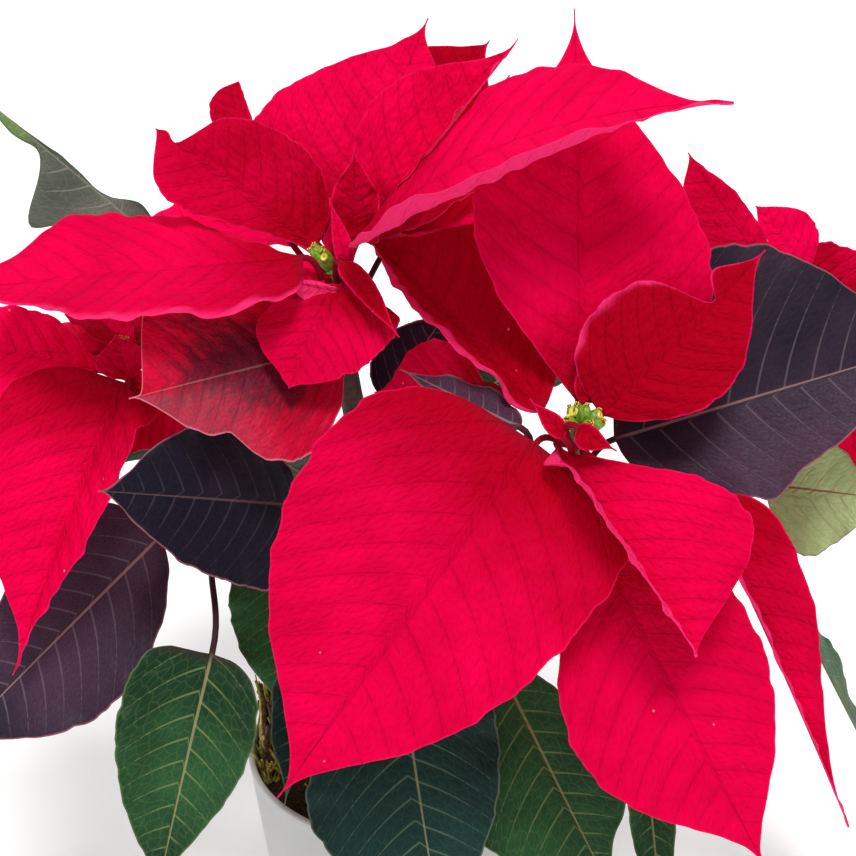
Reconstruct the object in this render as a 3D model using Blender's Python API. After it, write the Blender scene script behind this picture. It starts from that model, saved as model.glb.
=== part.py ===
"""Poinsettia in its pot: five branches, each topped by red bracts round small green cyathia.

Lengths below are millimetres in the finished object's frame: X right, Y away from the viewer,
Z up, with the origin at the middle of the pot's flat base. MM turns them into metres.
"""

import math

import bmesh
import bpy
import numpy as np

MM = 0.001
UP = np.array((0.0, 0.0, 1.0))
SLANT = np.array((0.3, 1.0, 0.1))
GAP = 0.3

# Pot, soil and stems
POT_HEIGHT = 115.0
POT_RIM_RADIUS = 65.0
POT_BASE_RADIUS = 49.0
POT_WALL = 2.6
POT_FLOOR = 4.0
POT_LIP = 1.2
POT_FOOT_EDGE = 1.5
POT_INNER_EDGE = 0.4
POT_SIDES = 40
SOIL_TOP = 103.0
SOIL_LUMP = 1.3
SOIL_RINGS = 3
FOOT_RADIUS = 6.0
FOOT_DEPTH = 60.0
FOOT_CLEARANCE = 0.6
STEM_SIDES = 8
STEM_STEPS = 7

# A blade is 0.6 mm thick or more everywhere, and its rib stands out below.
BLADE_HALF_THICK = 0.34
RIB_DEPTH = 1.0
STALK_RADIUS = 1.5
TIP_HALF_WIDTH = 0.6
EDGE_PART = 0.6
LOBE_SPREAD = 0.07
LOBE_NEXT = 0.13
WAVE_OFFSET = 0.27
WAVE_POWER = 2.5
LOBE_DIP = 0.6
OUTLINE_SAMPLES = 201
HOOK_FROM = 0.75
FOLD_STARTS = 0.125
STALK_LEAVES = 0.4
STALK_ARRIVES = 0.35
LARGE_STATIONS = (0.0, 0.04, 0.12, 0.25, 0.4, 0.55, 0.7, 0.83, 0.93, 1.0)
MIDDLE_STATIONS = (0.0, 0.09, 0.26, 0.46, 0.66, 0.85, 1.0)
SMALL_STATIONS = (0.0, 0.2, 0.45, 0.75, 1.0)
STALK_STATIONS = 2
LARGE_BLADE = 100.0
SMALL_BLADE = 32.0

# Receptacle and cyathia
RECEPTACLE_RADIUS = 4.4
RECEPTACLE_FOOT = 2.9
RECEPTACLE_FLARE = 2.5
RECEPTACLE_BELOW = 6.2
RECEPTACLE_ABOVE = 3.0
BRACT_DROP = 1.2
SEAT_RADIUS = 2.6
SEAT_HEIGHT = 1.8
SEAT_SHOULDER = 1.08
SEAT_TOP_RADIUS = 1.82
CUP_START = 0.3
CUP_REACH = 1.56
CUP_VARIATION = 0.25
CUP_TURN = 2.1
CUP_SIDES = 5
CUP_PROFILE = ((0.8, -0.4), (1.9, 3.4), (1.7, 6.0), (1.0, 7.2))
GOLDEN_ANGLE = math.radians(137.5)

SURFACES = {
    "pot": ((0.74, 0.75, 0.75), 0.45),
    "soil": ((0.055, 0.035, 0.02), 0.95),
    "stem": ((0.10, 0.055, 0.035), 0.7),
    "red": ((0.62, 0.004, 0.03), 0.5),
    "cyathia": ((0.16, 0.34, 0.03), 0.45),
    "dark": ((0.045, 0.025, 0.045), 0.5),
    "green": ((0.02, 0.11, 0.035), 0.5),
    "teal": ((0.015, 0.06, 0.05), 0.5),
    "grey": ((0.05, 0.06, 0.045), 0.5),
    "olive": ((0.17, 0.21, 0.07), 0.55),
    "two": ((0.22, 0.01, 0.04), 0.5),
}


def unit(v):
    return v / np.linalg.norm(v)


def curve(points, t):
    """Points at t on the cubic curve through its first and last control points."""
    t = np.asarray(t, float)[:, None]
    a, b, c, d = np.array(points, float)
    return (1 - t) ** 3 * a + 3 * (1 - t) ** 2 * t * b + 3 * (1 - t) * t**2 * c + t**3 * d


class Branch:
    """A stem: a cubic curve with its radius at both ends."""

    def __init__(self, points, foot_radius, top_radius):
        self.points = points
        self.radii = (foot_radius, top_radius)

    def at(self, t):
        return curve(self.points, [t])[0]

    def direction(self, t):
        ends = curve(self.points, [max(t - 0.01, 0.0), min(t + 0.01, 1.0)])
        return unit(ends[1] - ends[0])

    def radius(self, t):
        return self.radii[0] + (self.radii[1] - self.radii[0]) * t


def branch_to(place, foot, low, high, foot_radius, top_radius):
    """A branch that runs straight into its head's receptacle, a small gap below it."""
    centre = np.array(HEADS[place], float)
    axis = unit(centre - high)
    return Branch((foot, low, high, centre - axis * (RECEPTACLE_BELOW + GAP)), foot_radius, top_radius)


class Blade:
    """A bract or a leaf: where its blade starts and ends, and its form.

    Pairs are for its two halves, left then right as seen from the stalk with its face up.
    half is a half's width, belly the place of that width along the blade (0 at the stalk, 1 at
    the tip) and full how rounded the half is. roll turns the face about the chord, arch and
    sweep bow the midrib, fold raises a half, and curl raises its outer part further.
    """

    def __init__(self, name, joint, tip, half=(30, 30), roll=0, arch=0, sweep=0, fold=(8, 8),
                 curl=(0, 0), belly=(0.38, 0.38), full=(0.6, 0.6), taper=(6, 2),
                 lobe=((0, 0.5), (0, 0.5)), wave=1.5, waves=3, phase=0, hook=0, twist=0,
                 start=None, stem=None, kind="red"):
        self.name = name
        self.joint = np.array(joint, float)
        self.tip = np.array(tip, float)
        self.half = half
        self.roll = roll
        self.arch = arch
        self.sweep = sweep
        self.fold = fold
        self.curl = curl
        self.belly = belly
        self.full = full
        self.taper = taper
        self.lobe = lobe
        self.wave = wave
        self.waves = waves
        self.phase = phase
        self.hook = hook
        self.twist = twist
        self.start = start
        self.stem = stem
        self.kind = kind


FOOT = Branch(((0, 0, FOOT_DEPTH), (0, 0, 85), (0, 0, 110), (1, 0, 140)), FOOT_RADIUS, 5.6)
HEADS = {
    "top": (-27, -2, 319),
    "front": (60, -60, 284),
    "left": (-103, -10, 288),
    "right": (146, 50, 288),
    "back": (-31, 95, 290),
}
BRANCHES = {
    "top": branch_to("top", (1, 0, 128), (-4, 4, 200), (-24, 0, 255), 5.0, 3.4),
    "front": branch_to("front", (1, -1, 122), (14, -12, 190), (52, -50, 225), 4.8, 3.4),
    "left": branch_to("left", (-1, 0, 118), (-22, 2, 180), (-80, -6, 225), 4.4, 3.0),
    "right": branch_to("right", (2, 2, 120), (30, 12, 190), (122, 42, 220), 4.4, 3.0),
    "back": branch_to("back", (0, 3, 118), (-6, 26, 190), (-26, 80, 230), 4.2, 3.0),
}
# For each head: how many cups, the way they lean, and how far they spread
CUPS = {
    "top": (4, (-0.45, 0.1, 0.9), 0.2),
    "front": (6, (0.0, -0.1, 1.0), 0.5),
    "left": (4, (0.1, -0.2, 1.0), 0.4),
    "right": (3, (0.0, -0.1, 1.0), 0.4),
    "back": (3, (0.0, 0.1, 1.0), 0.4),
}

BRACTS = {
    "top": (
        Blade("long_left", (-38, -13, 333), (-159, -28, 327), half=(41, 42), roll=6, fold=(6, 4),
              belly=(0.31, 0.58), full=(0.5, 0.8), taper=(10, 1.5)),
        Blade("folded_left", (-35, 6, 327), (-92, 22, 369), half=(20, 28), roll=54, fold=(22, 10),
              belly=(0.74, 0.4), full=(0.55, 0.6), taper=(14, 1.2), lobe=((0, 0.5), (-1, 0.89))),
        Blade("small_behind", (-54, 28, 347), (-64, 56, 375), half=(13.5, 1.5), roll=13,
              belly=(0.7, 0.5), full=(0.35, 0.6), taper=(30, 0.7), wave=0.5),
        Blade("broad_back", (-27, 12, 330), (7, 58, 399), half=(44, 34), roll=-27, arch=2, fold=(4, 8),
              belly=(0.3, 0.45), taper=(5, 1.8)),
        Blade("back_right", (-24, 16, 332), (30, 62, 389), half=(27, 22), roll=-38, arch=2, fold=(6, 8),
              belly=(0.6, 0.5), full=(0.7, 0.7), taper=(10, 1.5)),
        Blade("upright_right", (-18, 4, 333), (39, 18, 404), half=(27, 18), roll=-57, fold=(6, 82),
              belly=(0.5, 0.4), full=(0.7, 0.7)),
        Blade("little_upright", (-21, 4, 334), (-19, 4, 368), half=(8, 10), roll=-88, belly=(0.4, 0.4),
              full=(0.8, 0.8), taper=(5, 1.5)),
        Blade("long_right", (-20, -10, 337), (108, -54, 406), half=(40, 44), roll=-16, arch=16,
              fold=(4, 4), curl=(0, 40), belly=(0.55, 0.45), full=(1.2, 0.8), taper=(4, 1.1)),
        Blade("narrow_front", (-24, -17, 332), (-3, -46, 317), half=(5.5, 3), roll=-32,
              belly=(0.28, 0.22), full=(0.7, 0.6), taper=(5, 1.5), wave=0.4),
        Blade("narrow_upper", (-22, -14, 329), (-28, -8, 354), half=(3, 4), roll=40, belly=(0.3, 0.3),
              full=(0.7, 0.7), taper=(4, 1.5), wave=0.3),
        Blade("rounded_front", (-23, -18, 324), (-42, -48, 298), half=(25, 21), roll=25,
              belly=(0.2, 0.62), full=(0.4, 0.42), taper=(9, 1.4), wave=1),
        Blade("curled_front", (-26, -19, 323), (-44, -27, 330), half=(2, 6), roll=-111,
              belly=(0.45, 0.42), full=(0.7, 0.7), wave=0),
        Blade("inner_left", (-31, -8, 323), (-44, -14, 320), half=(8, 11), roll=47, belly=(0.45, 0.45),
              wave=0.5),
        Blade("little_behind", (-27, 8, 324), (-28, 14, 337), half=(4, 5), roll=8, belly=(0.45, 0.45),
              wave=0),
    ),
    "front": (
        Blade("hero", (44, -73, 289), (-45, -125, 178), half=(50, 61), roll=50, arch=10, fold=(10, 8),
              belly=(0.19, 0.3), full=(0.33, 0.55)),
        Blade("folded_right", (52, -74, 288), (98, -122, 234), half=(41, 22), roll=-34, arch=4,
              fold=(4, 80), belly=(0.62, 0.4), full=(0.8, 0.7), taper=(14, 1.5)),
        Blade("hanging_right", (66, -82, 254), (129, -110, 135), half=(35, 41), roll=-56, arch=6,
              fold=(6, 6), belly=(0.36, 0.46), full=(0.6, 0.8)),
        Blade("long_right", (105, -67, 263), (161, -88, 139), half=(21.5, 14), roll=-50, arch=4,
              fold=(6, 72), belly=(0.26, 0.4), full=(0.7, 0.8), taper=(3, 2), start=(0.4, 0.1, -1)),
        Blade("upright", (60, -48, 292), (59, 22, 414), half=(38, 47), roll=-3, arch=4,
              belly=(0.54, 0.33), full=(0.9, 0.75), taper=(4, 1.6)),
        Blade("cupped_right", (68, -54, 291), (123, -44, 349), half=(28, 25), roll=-64, arch=2,
              fold=(10, 10), belly=(0.35, 0.5), full=(0.7, 0.7), taper=(5, 1.4),
              lobe=((-1, 0.69), (0, 0.5))),
        Blade("narrow_upright", (61, -52, 295), (69, -46, 320), half=(5, 8), roll=-47,
              belly=(0.35, 0.45), full=(0.7, 0.8), taper=(5, 1.5), wave=0.4),
        Blade("little_left", (53, -80, 295), (42, -66, 303), half=(5, 6), roll=38, belly=(0.35, 0.35),
              full=(0.7, 0.7), taper=(3, 1.6), wave=0.3),
        Blade("little_right", (58, -82, 300), (71, -86, 293), half=(7, 6.5), roll=-58, belly=(0.3, 0.35),
              taper=(3, 1.8), wave=0.3),
        Blade("back_left", (47, -48, 289), (-18, 30, 325), half=(22, 40), roll=36, arch=2, fold=(66, 4),
              belly=(0.5, 0.55), full=(0.7, 0.55)),
    ),
    "left": (
        Blade("hanging", (-102, -22, 287), (-145, -62, 188), half=(22, 43), roll=41, arch=8,
              fold=(56, 6), belly=(0.28, 0.33), full=(0.6, 0.5), taper=(4, 2.4)),
        Blade("left", (-114, -10, 287), (-172, -5, 296), half=(20, 19), roll=38, belly=(0.5, 0.55),
              full=(0.5, 0.6), taper=(8, 1.5)),
        Blade("behind", (-106, 0, 285), (-117, 22, 294), half=(16, 10), roll=30, belly=(0.5, 0.5),
              full=(0.5, 0.5), taper=(6, 1)),
        Blade("lower_right", (-101, -18, 288), (-74, -36, 274), half=(14, 22), roll=-45,
              belly=(0.5, 0.5), taper=(5, 1.2)),
        Blade("young", (-101, -26, 291), (-105, -24, 308), half=(10, 9), roll=58, belly=(0.5, 0.5),
              taper=(5, 1.3), wave=0.5),
        Blade("back_left", (-112, 4, 288), (-188, 46, 276), half=(26, 26), roll=-10),
        Blade("back", (-102, 4, 290), (-114, 82, 296), half=(25, 25)),
    ),
    "right": (
        Blade("upper_left", (141, 52, 294), (107, 68, 342), half=(22, 8), roll=49, belly=(0.5, 0.45),
              full=(0.5, 0.6), taper=(6, 1.1)),
        Blade("right", (154, 58, 293), (205, 72, 267), half=(20, 20), roll=-46, belly=(0.28, 0.4),
              full=(0.4, 0.6)),
        Blade("upper_right", (150, 56, 294), (134, 66, 321), half=(4, 17), roll=44, belly=(0.5, 0.5),
              full=(0.5, 0.5), taper=(8, 1), wave=0.8),
        Blade("lower", (166, 45, 277), (177, 26, 217), half=(16, 16), roll=-22, belly=(0.45, 0.45),
              full=(0.7, 0.7)),
        Blade("back_right", (156, 58, 290), (212, 98, 284), half=(24, 24)),
        Blade("back", (147, 66, 285), (130, 146, 282), half=(24, 24)),
    ),
    "back": (
        Blade("left", (-41, 98, 294), (-128, 128, 280), arch=8),
        Blade("back_left", (-37, 104, 294), (-96, 172, 294), half=(29, 29), arch=8),
        Blade("back", (-29, 106, 294), (-22, 205, 306), half=(31, 31), arch=8),
        Blade("back_right", (-21, 103, 294), (52, 176, 304), arch=8),
        Blade("right", (-18, 97, 294), (80, 120, 280), half=(28, 28), arch=8),
    ),
}
LEAVES = (
    Blade("red_middle", (27, -24, 288), (-13, 2, 272), stem=("front", 0.76), half=(5, 18), roll=65,
          belly=(0.45, 0.45), full=(0.7, 0.8), taper=(5, 1.5)),
    Blade("right_large", (74, -40, 274), (195, -20, 304), stem=("front", 0.82), half=(55, 34), roll=-57,
          arch=3, belly=(0.48, 0.36), full=(0.7, 0.8), taper=(5, 1.5), lobe=((0, 0.5), (0.1, 0.38)),
          kind="dark"),
    Blade("upper_left", (-74, 36, 299), (-168, 58, 375), stem=("top", 0.86), half=(14, 3), roll=45,
          belly=(0.5, 0.3), full=(0.5, 0.9), taper=(4, 2), lobe=((1.25, 0.56), (1.2, 0.34)), kind="grey"),
    Blade("left_middle", (-40, -26, 239), (-108, -70, 269), stem=("left", 0.56), half=(32, 28), roll=66,
          arch=3, belly=(0.22, 0.48), full=(0.5, 0.65), taper=(8, 1.4), kind="dark"),
    Blade("left_low", (-94, -18, 221), (-171, -60, 155), stem=("left", 0.7), half=(33, 30), roll=47,
          arch=2, belly=(0.5, 0.25), full=(0.6, 0.5), taper=(7, 1.3), kind="dark"),
    Blade("front_left", (-71, -70, 202), (-94, -95, 108), stem=("left", 0.64), half=(22.5, 28), roll=38,
          arch=6, belly=(0.28, 0.28), full=(0.7, 0.35), taper=(4, 2), kind="green",
          start=(-0.7, -1, -0.3)),
    Blade("left_inner", (-41, -8, 211), (-48, -28, 146), stem=("left", 0.4), half=(16, 26), roll=17,
          belly=(0.4, 0.28), full=(0.7, 0.5), taper=(6, 1.5), kind="green"),
    Blade("front_middle", (-2, -72, 188), (12, -108, 105), stem=("front", 0.3), half=(32, 41), roll=-19,
          arch=4, belly=(0.2, 0.42), full=(0.4, 0.7), kind="teal"),
    Blade("front_right", (34, -50, 183), (77, -82, 102), stem=("front", 0.42), half=(21, 37), roll=-46,
          arch=4, belly=(0.5, 0.5), full=(0.45, 0.7), lobe=((0.2, 0.66), (0, 0.5)), kind="green"),
    Blade("right_turned", (135, 0, 234), (184, -20, 238), stem=("right", 0.62), half=(27, 27), roll=-93,
          belly=(0.4, 0.35), full=(0.9, 0.9), taper=(3, 1.2), kind="olive"),
    Blade("right_low", (154, 10, 171), (193, 5, 92), stem=("right", 0.5), half=(22, 22), roll=7,
          kind="green"),
    Blade("front_far_right", (90, -36, 142), (98, -62, 71), stem=("front", 0.5), half=(9, 9), roll=-15,
          kind="green"),
    Blade("centre_short", (-8, 8, 265), (15, 26, 296), stem=("top", 0.6), half=(15, 14), roll=-40,
          kind="dark"),
    Blade("centre_narrow", (39, -56, 287), (-3, -26, 295), stem=("front", 0.8), half=(9, 9), roll=14,
          kind="dark"),
    Blade("front_inner", (-35, -50, 196), (-46, -78, 141), stem=("front", 0.2), half=(9, 12), roll=-1,
          kind="teal"),
    Blade("two_tone", (-23, -18, 301), (-97, -58, 299), stem=("top", 0.93), half=(36, 34), roll=59,
          arch=2, fold=(6, -3), belly=(0.38, 0.7), full=(1.1, 0.35), taper=(16, 1.1),
          lobe=((-0.25, 0.63), (-1, 0.965)), kind="two"),
    Blade("top_behind", (-9, 24, 320), (38, 72, 372), stem=("top", 0.95), half=(13, 15), roll=-40,
          belly=(0.75, 0.75), full=(1.2, 1.2), taper=(8, 1.2), kind="dark"),
    Blade("back_far_right", (100, 62, 208), (152, 138, 200), stem=("right", 0.55), half=(28, 28), arch=6,
          kind="green"),
    Blade("back_right", (18, 84, 226), (88, 160, 212), stem=("back", 0.55), half=(27, 27), arch=6,
          kind="green"),
    Blade("back_left", (-58, 96, 236), (-128, 148, 218), stem=("back", 0.7), half=(28, 28), arch=6,
          kind="green"),
    Blade("back_far_left", (-80, 34, 228), (-148, 84, 208), stem=("left", 0.6), half=(26, 26), arch=6,
          kind="green"),
    Blade("back_low_left", (-34, 70, 186), (-66, 146, 168), stem=("back", 0.35), half=(27, 27), arch=6,
          kind="green"),
    Blade("back_low_right", (52, 52, 186), (78, 132, 168), stem=("right", 0.35), half=(27, 27), arch=6,
          kind="green"),
)


def outline(u, belly, full, taper, lobe):
    """A half's width along the blade, 1 at its widest, with a lobe, or a notch if its size is below 0."""
    lean = math.log(0.5) / math.log(belly)

    def plain(x):
        x = np.clip(x, 0.0, 1.0)
        return np.sin(math.pi * x**lean) ** full * (1 - x ** taper[0]) ** taper[1]

    size, place = lobe
    rise = np.exp(-(((u - place) / LOBE_SPREAD) ** 2))
    dip = np.exp(-(((u - place - LOBE_NEXT) / LOBE_SPREAD) ** 2))
    widest = plain(np.linspace(0.0, 1.0, OUTLINE_SAMPLES)).max()
    return plain(u) / widest * (1 + size * rise - LOBE_DIP * max(size, 0.0) * dip)


def blade_axes(blade):
    """Unit vectors across the blade and out of its face, square to its chord."""
    along = unit(blade.tip - blade.joint)
    side = unit(np.cross(along, UP))
    face = np.cross(side, along)
    turn = math.radians(blade.roll)
    return (math.cos(turn) * side + math.sin(turn) * face,
            math.cos(turn) * face - math.sin(turn) * side)


def spine_points(blade, root, start, stations, steps):
    """Points down the stalk and then the midrib, and how far along the blade each one is."""
    side, face = blade_axes(blade)
    knee = (blade.joint + blade.tip) / 2 + 2 * blade.arch * face + 2 * blade.sweep * side
    t = np.array(stations)[:, None]
    midrib = (1 - t) ** 2 * blade.joint + 2 * (1 - t) * t * knee + t**2 * blade.tip
    midrib += np.clip((t - HOOK_FROM) / (1 - HOOK_FROM), 0, 1) ** 2 * blade.hook * face
    reach = np.linalg.norm(blade.joint - root)
    first = unit(knee - blade.joint)
    leave = root + start * reach * STALK_LEAVES
    arrive = blade.joint - first * reach * STALK_ARRIVES
    stalk = curve((root, leave, arrive, blade.joint), np.linspace(0, 1, steps + 1)[:-1])
    along = np.concatenate([np.full(steps, -1.0), stations])
    return np.concatenate([stalk, midrib]), along


def carried_axes(blade, points, along, start):
    """The side and face directions at each point of the spine."""
    tangent = np.gradient(points, axis=0)
    tangent[0] = start
    tangent /= np.linalg.norm(tangent, axis=1)[:, None]
    side = np.repeat(blade_axes(blade)[0][None], len(points), 0)
    side -= (side * tangent).sum(1)[:, None] * tangent
    side /= np.linalg.norm(side, axis=1)[:, None]
    face = np.cross(side, tangent)
    turn = np.radians(blade.twist) * np.clip(along, 0, 1)
    cos, sin = np.cos(turn)[:, None], np.sin(turn)[:, None]
    return cos * side + sin * face, cos * face - sin * side


def half_widths(blade, along, across):
    """The half width at each grid point, and that width as a share of the half's widest."""
    u = np.clip(along, 0, 1)
    least = np.where(along < 0, STALK_RADIUS, STALK_RADIUS + (TIP_HALF_WIDTH - STALK_RADIUS) * u)
    sides = []
    for i in (0, 1):
        width = blade.half[i] * outline(u, blade.belly[i], blade.full[i], blade.taper, blade.lobe[i])
        sides.append(np.maximum(np.where(along > 0, width, 0), least))
    width = np.where(across[None] < 0, sides[0][:, None], sides[1][:, None])
    widest = np.where(across < 0, blade.half[0], blade.half[1])[None]
    return width, width / widest


def middle_surface(blade, root, start, stations, across, steps):
    """The sheet halfway through the blade, its normals and each row's place along the blade."""
    points, along = spine_points(blade, root, start, stations, steps)
    side, face = carried_axes(blade, points, along, start)
    width, share = half_widths(blade, along, across)
    left = across[None] < 0
    leafy = (along > 0)[:, None]
    u = np.clip(along, 0, 1)[:, None]
    fold = np.radians(np.where(left, *blade.fold)) * leafy * np.clip(u / FOLD_STARTS, 0, 1)
    edge_fold = fold + np.radians(np.where(left, *blade.curl)) * leafy
    inner = np.minimum(np.abs(across[None]), EDGE_PART) * width
    outer = np.clip(np.abs(across[None]) - EDGE_PART, 0, 1) * width
    out = inner * np.cos(fold) + outer * np.cos(edge_fold)
    up = inner * np.sin(fold) + outer * np.sin(edge_fold)
    turn = 2 * math.pi * (blade.waves * u + WAVE_OFFSET * (across[None] > 0)) + blade.phase
    up = up + blade.wave * np.abs(across[None]) ** WAVE_POWER * np.sin(turn) * share * leafy
    sheet = points[:, None] + side[:, None] * (np.sign(across)[None] * out)[..., None]
    sheet = sheet + face[:, None] * up[..., None]
    normal = np.cross(np.gradient(sheet, axis=1), np.gradient(sheet, axis=0))
    normal = np.where((along < 0)[:, None, None], face[:, None], normal)
    return sheet, normal / np.linalg.norm(normal, axis=2)[..., None], along


def skin_depths(along, across):
    """How far the upper and lower skins stand off the middle surface."""
    round_part = np.sqrt(np.clip(1 - across**2, 0, 1))[None]
    stalk = BLADE_HALF_THICK + (STALK_RADIUS - BLADE_HALF_THICK) * round_part
    leafy = (along > 0)[:, None]
    u = np.clip(along, 0, 1)[:, None]
    rib = RIB_DEPTH * (1 - u) * (across == 0)[None]
    upper = np.where(leafy, BLADE_HALF_THICK, stalk)
    lower = np.where(leafy, BLADE_HALF_THICK + rib, stalk)
    return upper, lower


def grid_faces(rows, columns):
    """Triangles of a closed skin: an upper grid, the same grid below it, and the edge between."""
    below = rows * columns

    def index(r, c, offset):
        return r * columns + c + offset

    faces = []
    for r in range(rows - 1):
        for c in range(columns - 1):
            a, b = index(r, c, 0), index(r, c + 1, 0)
            d, e = index(r + 1, c, 0), index(r + 1, c + 1, 0)
            faces += [(a, b, e), (a, e, d)]
            faces += [(below + e, below + b, below + a), (below + d, below + e, below + a)]
    ring = [(0, c) for c in range(columns)]
    ring += [(r, columns - 1) for r in range(1, rows)]
    ring += [(rows - 1, c) for c in range(columns - 2, -1, -1)]
    ring += [(r, 0) for r in range(rows - 2, 0, -1)]
    for here, there in zip(ring, ring[1:] + ring[:1]):
        a, b = index(*here, 0), index(*there, 0)
        faces += [(b, a, below + a), (b, below + a, below + b)]
    return faces


def blade_mesh(blade, root, start):
    """Points and triangles of a blade with its stalk."""
    length = np.linalg.norm(blade.tip - blade.joint)
    stations, columns = MIDDLE_STATIONS, 5
    if length > LARGE_BLADE:
        stations = LARGE_STATIONS
    if length < SMALL_BLADE:
        stations, columns = SMALL_STATIONS, 3
    across = np.linspace(-1, 1, columns)
    sheet, normal, along = middle_surface(blade, root, start, stations, across, STALK_STATIONS)
    upper, lower = skin_depths(along, across)
    top = sheet + normal * upper[..., None]
    bottom = sheet - normal * lower[..., None]
    points = np.concatenate([top.reshape(-1, 3), bottom.reshape(-1, 3)])
    return points, grid_faces(*sheet.shape[:2])


def rings_mesh(rings):
    """Points and faces of a closed solid through rings of points, capped at both ends."""
    sides = len(rings[0])
    points = np.concatenate(rings)
    faces = [tuple(range(sides))[::-1]]
    for r in range(len(rings) - 1):
        for s in range(sides):
            a, b = r * sides + s, r * sides + (s + 1) % sides
            faces.append((a, b, b + sides, a + sides))
    last = (len(rings) - 1) * sides
    faces.append(tuple(range(last, last + sides)))
    return points, faces


def ring(centre, axis, radius, sides):
    """A ring of points round a centre, square to an axis."""
    axis = unit(np.array(axis, float))
    across = unit(np.cross(axis, SLANT))
    other = np.cross(axis, across)
    angles = np.arange(sides) * 2 * math.pi / sides
    return centre + radius * (np.cos(angles)[:, None] * across + np.sin(angles)[:, None] * other)


def tube_mesh(branch, sides, steps):
    t = np.linspace(0, 1, steps)
    return rings_mesh([ring(branch.at(x), branch.direction(x), branch.radius(x), sides) for x in t])


def lathe_mesh(profile, sides, base=(0, 0, 0), axis=(0, 0, 1)):
    """A solid turned from (radius, height) pairs about an axis."""
    base, axis = np.array(base, float), unit(np.array(axis, float))
    return rings_mesh([ring(base + axis * height, axis, radius, sides) for radius, height in profile])


def add_object(name, mesh, kind):
    """A node made from points in millimetres and faces, with its own material."""
    points, faces = mesh
    data = bpy.data.meshes.new(name)
    data.from_pydata([tuple(p * MM) for p in points], [], faces)
    tidy = bmesh.new()
    tidy.from_mesh(data)
    bmesh.ops.triangulate(tidy, faces=[f for f in tidy.faces if len(f.verts) > 3])
    bmesh.ops.recalc_face_normals(tidy, faces=tidy.faces)
    tidy.to_mesh(data)
    tidy.free()
    made = bpy.data.objects.new(name, data)
    bpy.context.scene.collection.objects.link(made)
    data.materials.append(material_for(name, kind))
    return made


def material_for(name, kind):
    colour, roughness = SURFACES[kind]
    made = bpy.data.materials.new(name)
    made.use_nodes = True
    made.diffuse_color = (*colour, 1.0)
    shader = made.node_tree.nodes["Principled BSDF"]
    shader.inputs["Base Color"].default_value = (*colour, 1.0)
    shader.inputs["Roughness"].default_value = roughness
    return made


def keep_main_body(mesh):
    """Drops loose scraps and the skins of sealed hollows, which fills them."""
    shape = bmesh.new()
    shape.from_mesh(mesh)
    left = set(shape.verts)
    bodies = []
    while left:
        found = [left.pop()]
        body = list(found)
        while found:
            for edge in found.pop().link_edges:
                for vert in edge.verts:
                    if vert in left:
                        left.remove(vert)
                        found.append(vert)
                        body.append(vert)
        bodies.append(body)
    bodies.sort(key=len)
    scraps = [vert for body in bodies[:-1] for vert in body]
    bmesh.ops.delete(shape, geom=scraps, context="VERTS")
    shape.to_mesh(mesh)
    shape.free()


def fuse(base, pieces):
    """Joins the pieces to the base object in one union and removes them."""
    group = bpy.data.collections.new(base.name + "_pieces")
    bpy.context.scene.collection.children.link(group)
    for piece in pieces:
        bpy.context.scene.collection.objects.unlink(piece)
        group.objects.link(piece)
    union = base.modifiers.new("union", "BOOLEAN")
    union.operation = "UNION"
    union.solver = "EXACT"
    union.operand_type = "COLLECTION"
    union.collection = group
    view = bpy.context.evaluated_depsgraph_get()
    fused = bpy.data.meshes.new_from_object(base.evaluated_get(view))
    base.modifiers.clear()
    surface = base.data.materials[0]
    base.data = fused
    fused.materials.clear()
    fused.materials.append(surface)
    for face in fused.polygons:
        face.material_index = 0
    for piece in list(group.objects):
        bpy.data.objects.remove(piece)
    bpy.data.collections.remove(group)
    keep_main_body(fused)


def build_pot():
    """A plain tapered pot, open at the top, with a slightly thicker lip."""
    lean = (POT_RIM_RADIUS - POT_BASE_RADIUS) / POT_HEIGHT
    inner_base = POT_BASE_RADIUS + lean * POT_FLOOR - POT_WALL
    profile = (
        (POT_BASE_RADIUS - POT_FOOT_EDGE, 0.0),
        (POT_BASE_RADIUS, POT_FOOT_EDGE),
        (POT_RIM_RADIUS, POT_HEIGHT - POT_LIP),
        (POT_RIM_RADIUS - POT_LIP, POT_HEIGHT),
        (POT_RIM_RADIUS - POT_WALL, POT_HEIGHT - POT_INNER_EDGE),
        (inner_base, POT_FLOOR),
    )
    add_object("pot", lathe_mesh(profile, POT_SIDES), "pot")


def soil_height(x, y):
    """The lumpy surface of the soil, highest round the stem."""
    lumps = math.sin(0.19 * x + 1.1) * math.cos(0.23 * y - 0.6) + 0.5 * math.sin(0.41 * x - 0.37 * y)
    return SOIL_TOP + SOIL_LUMP * lumps


def build_soil():
    """The soil that fills the pot, with a plain hole for the stem's foot."""
    lean = (POT_RIM_RADIUS - POT_BASE_RADIUS) / POT_HEIGHT
    floor = POT_FLOOR + GAP
    reach = POT_RIM_RADIUS - POT_WALL - GAP * 2
    bottom = POT_BASE_RADIUS + lean * floor - POT_WALL - GAP * 2
    edge = reach - lean * (POT_HEIGHT - SOIL_TOP)
    hole = FOOT_RADIUS + FOOT_CLEARANCE
    rings = [ring((0, 0, floor), UP, bottom, POT_SIDES)]
    for step in range(SOIL_RINGS + 1):
        radius = edge + (hole - edge) * step / SOIL_RINGS
        level = ring((0, 0, 0), UP, radius, POT_SIDES)
        level[:, 2] = [soil_height(x, y) for x, y, _ in level]
        rings.append(level)
    rings.append(ring((0, 0, FOOT_DEPTH - GAP), UP, hole, POT_SIDES))
    add_object("soil", rings_mesh(rings), "soil")


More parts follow.
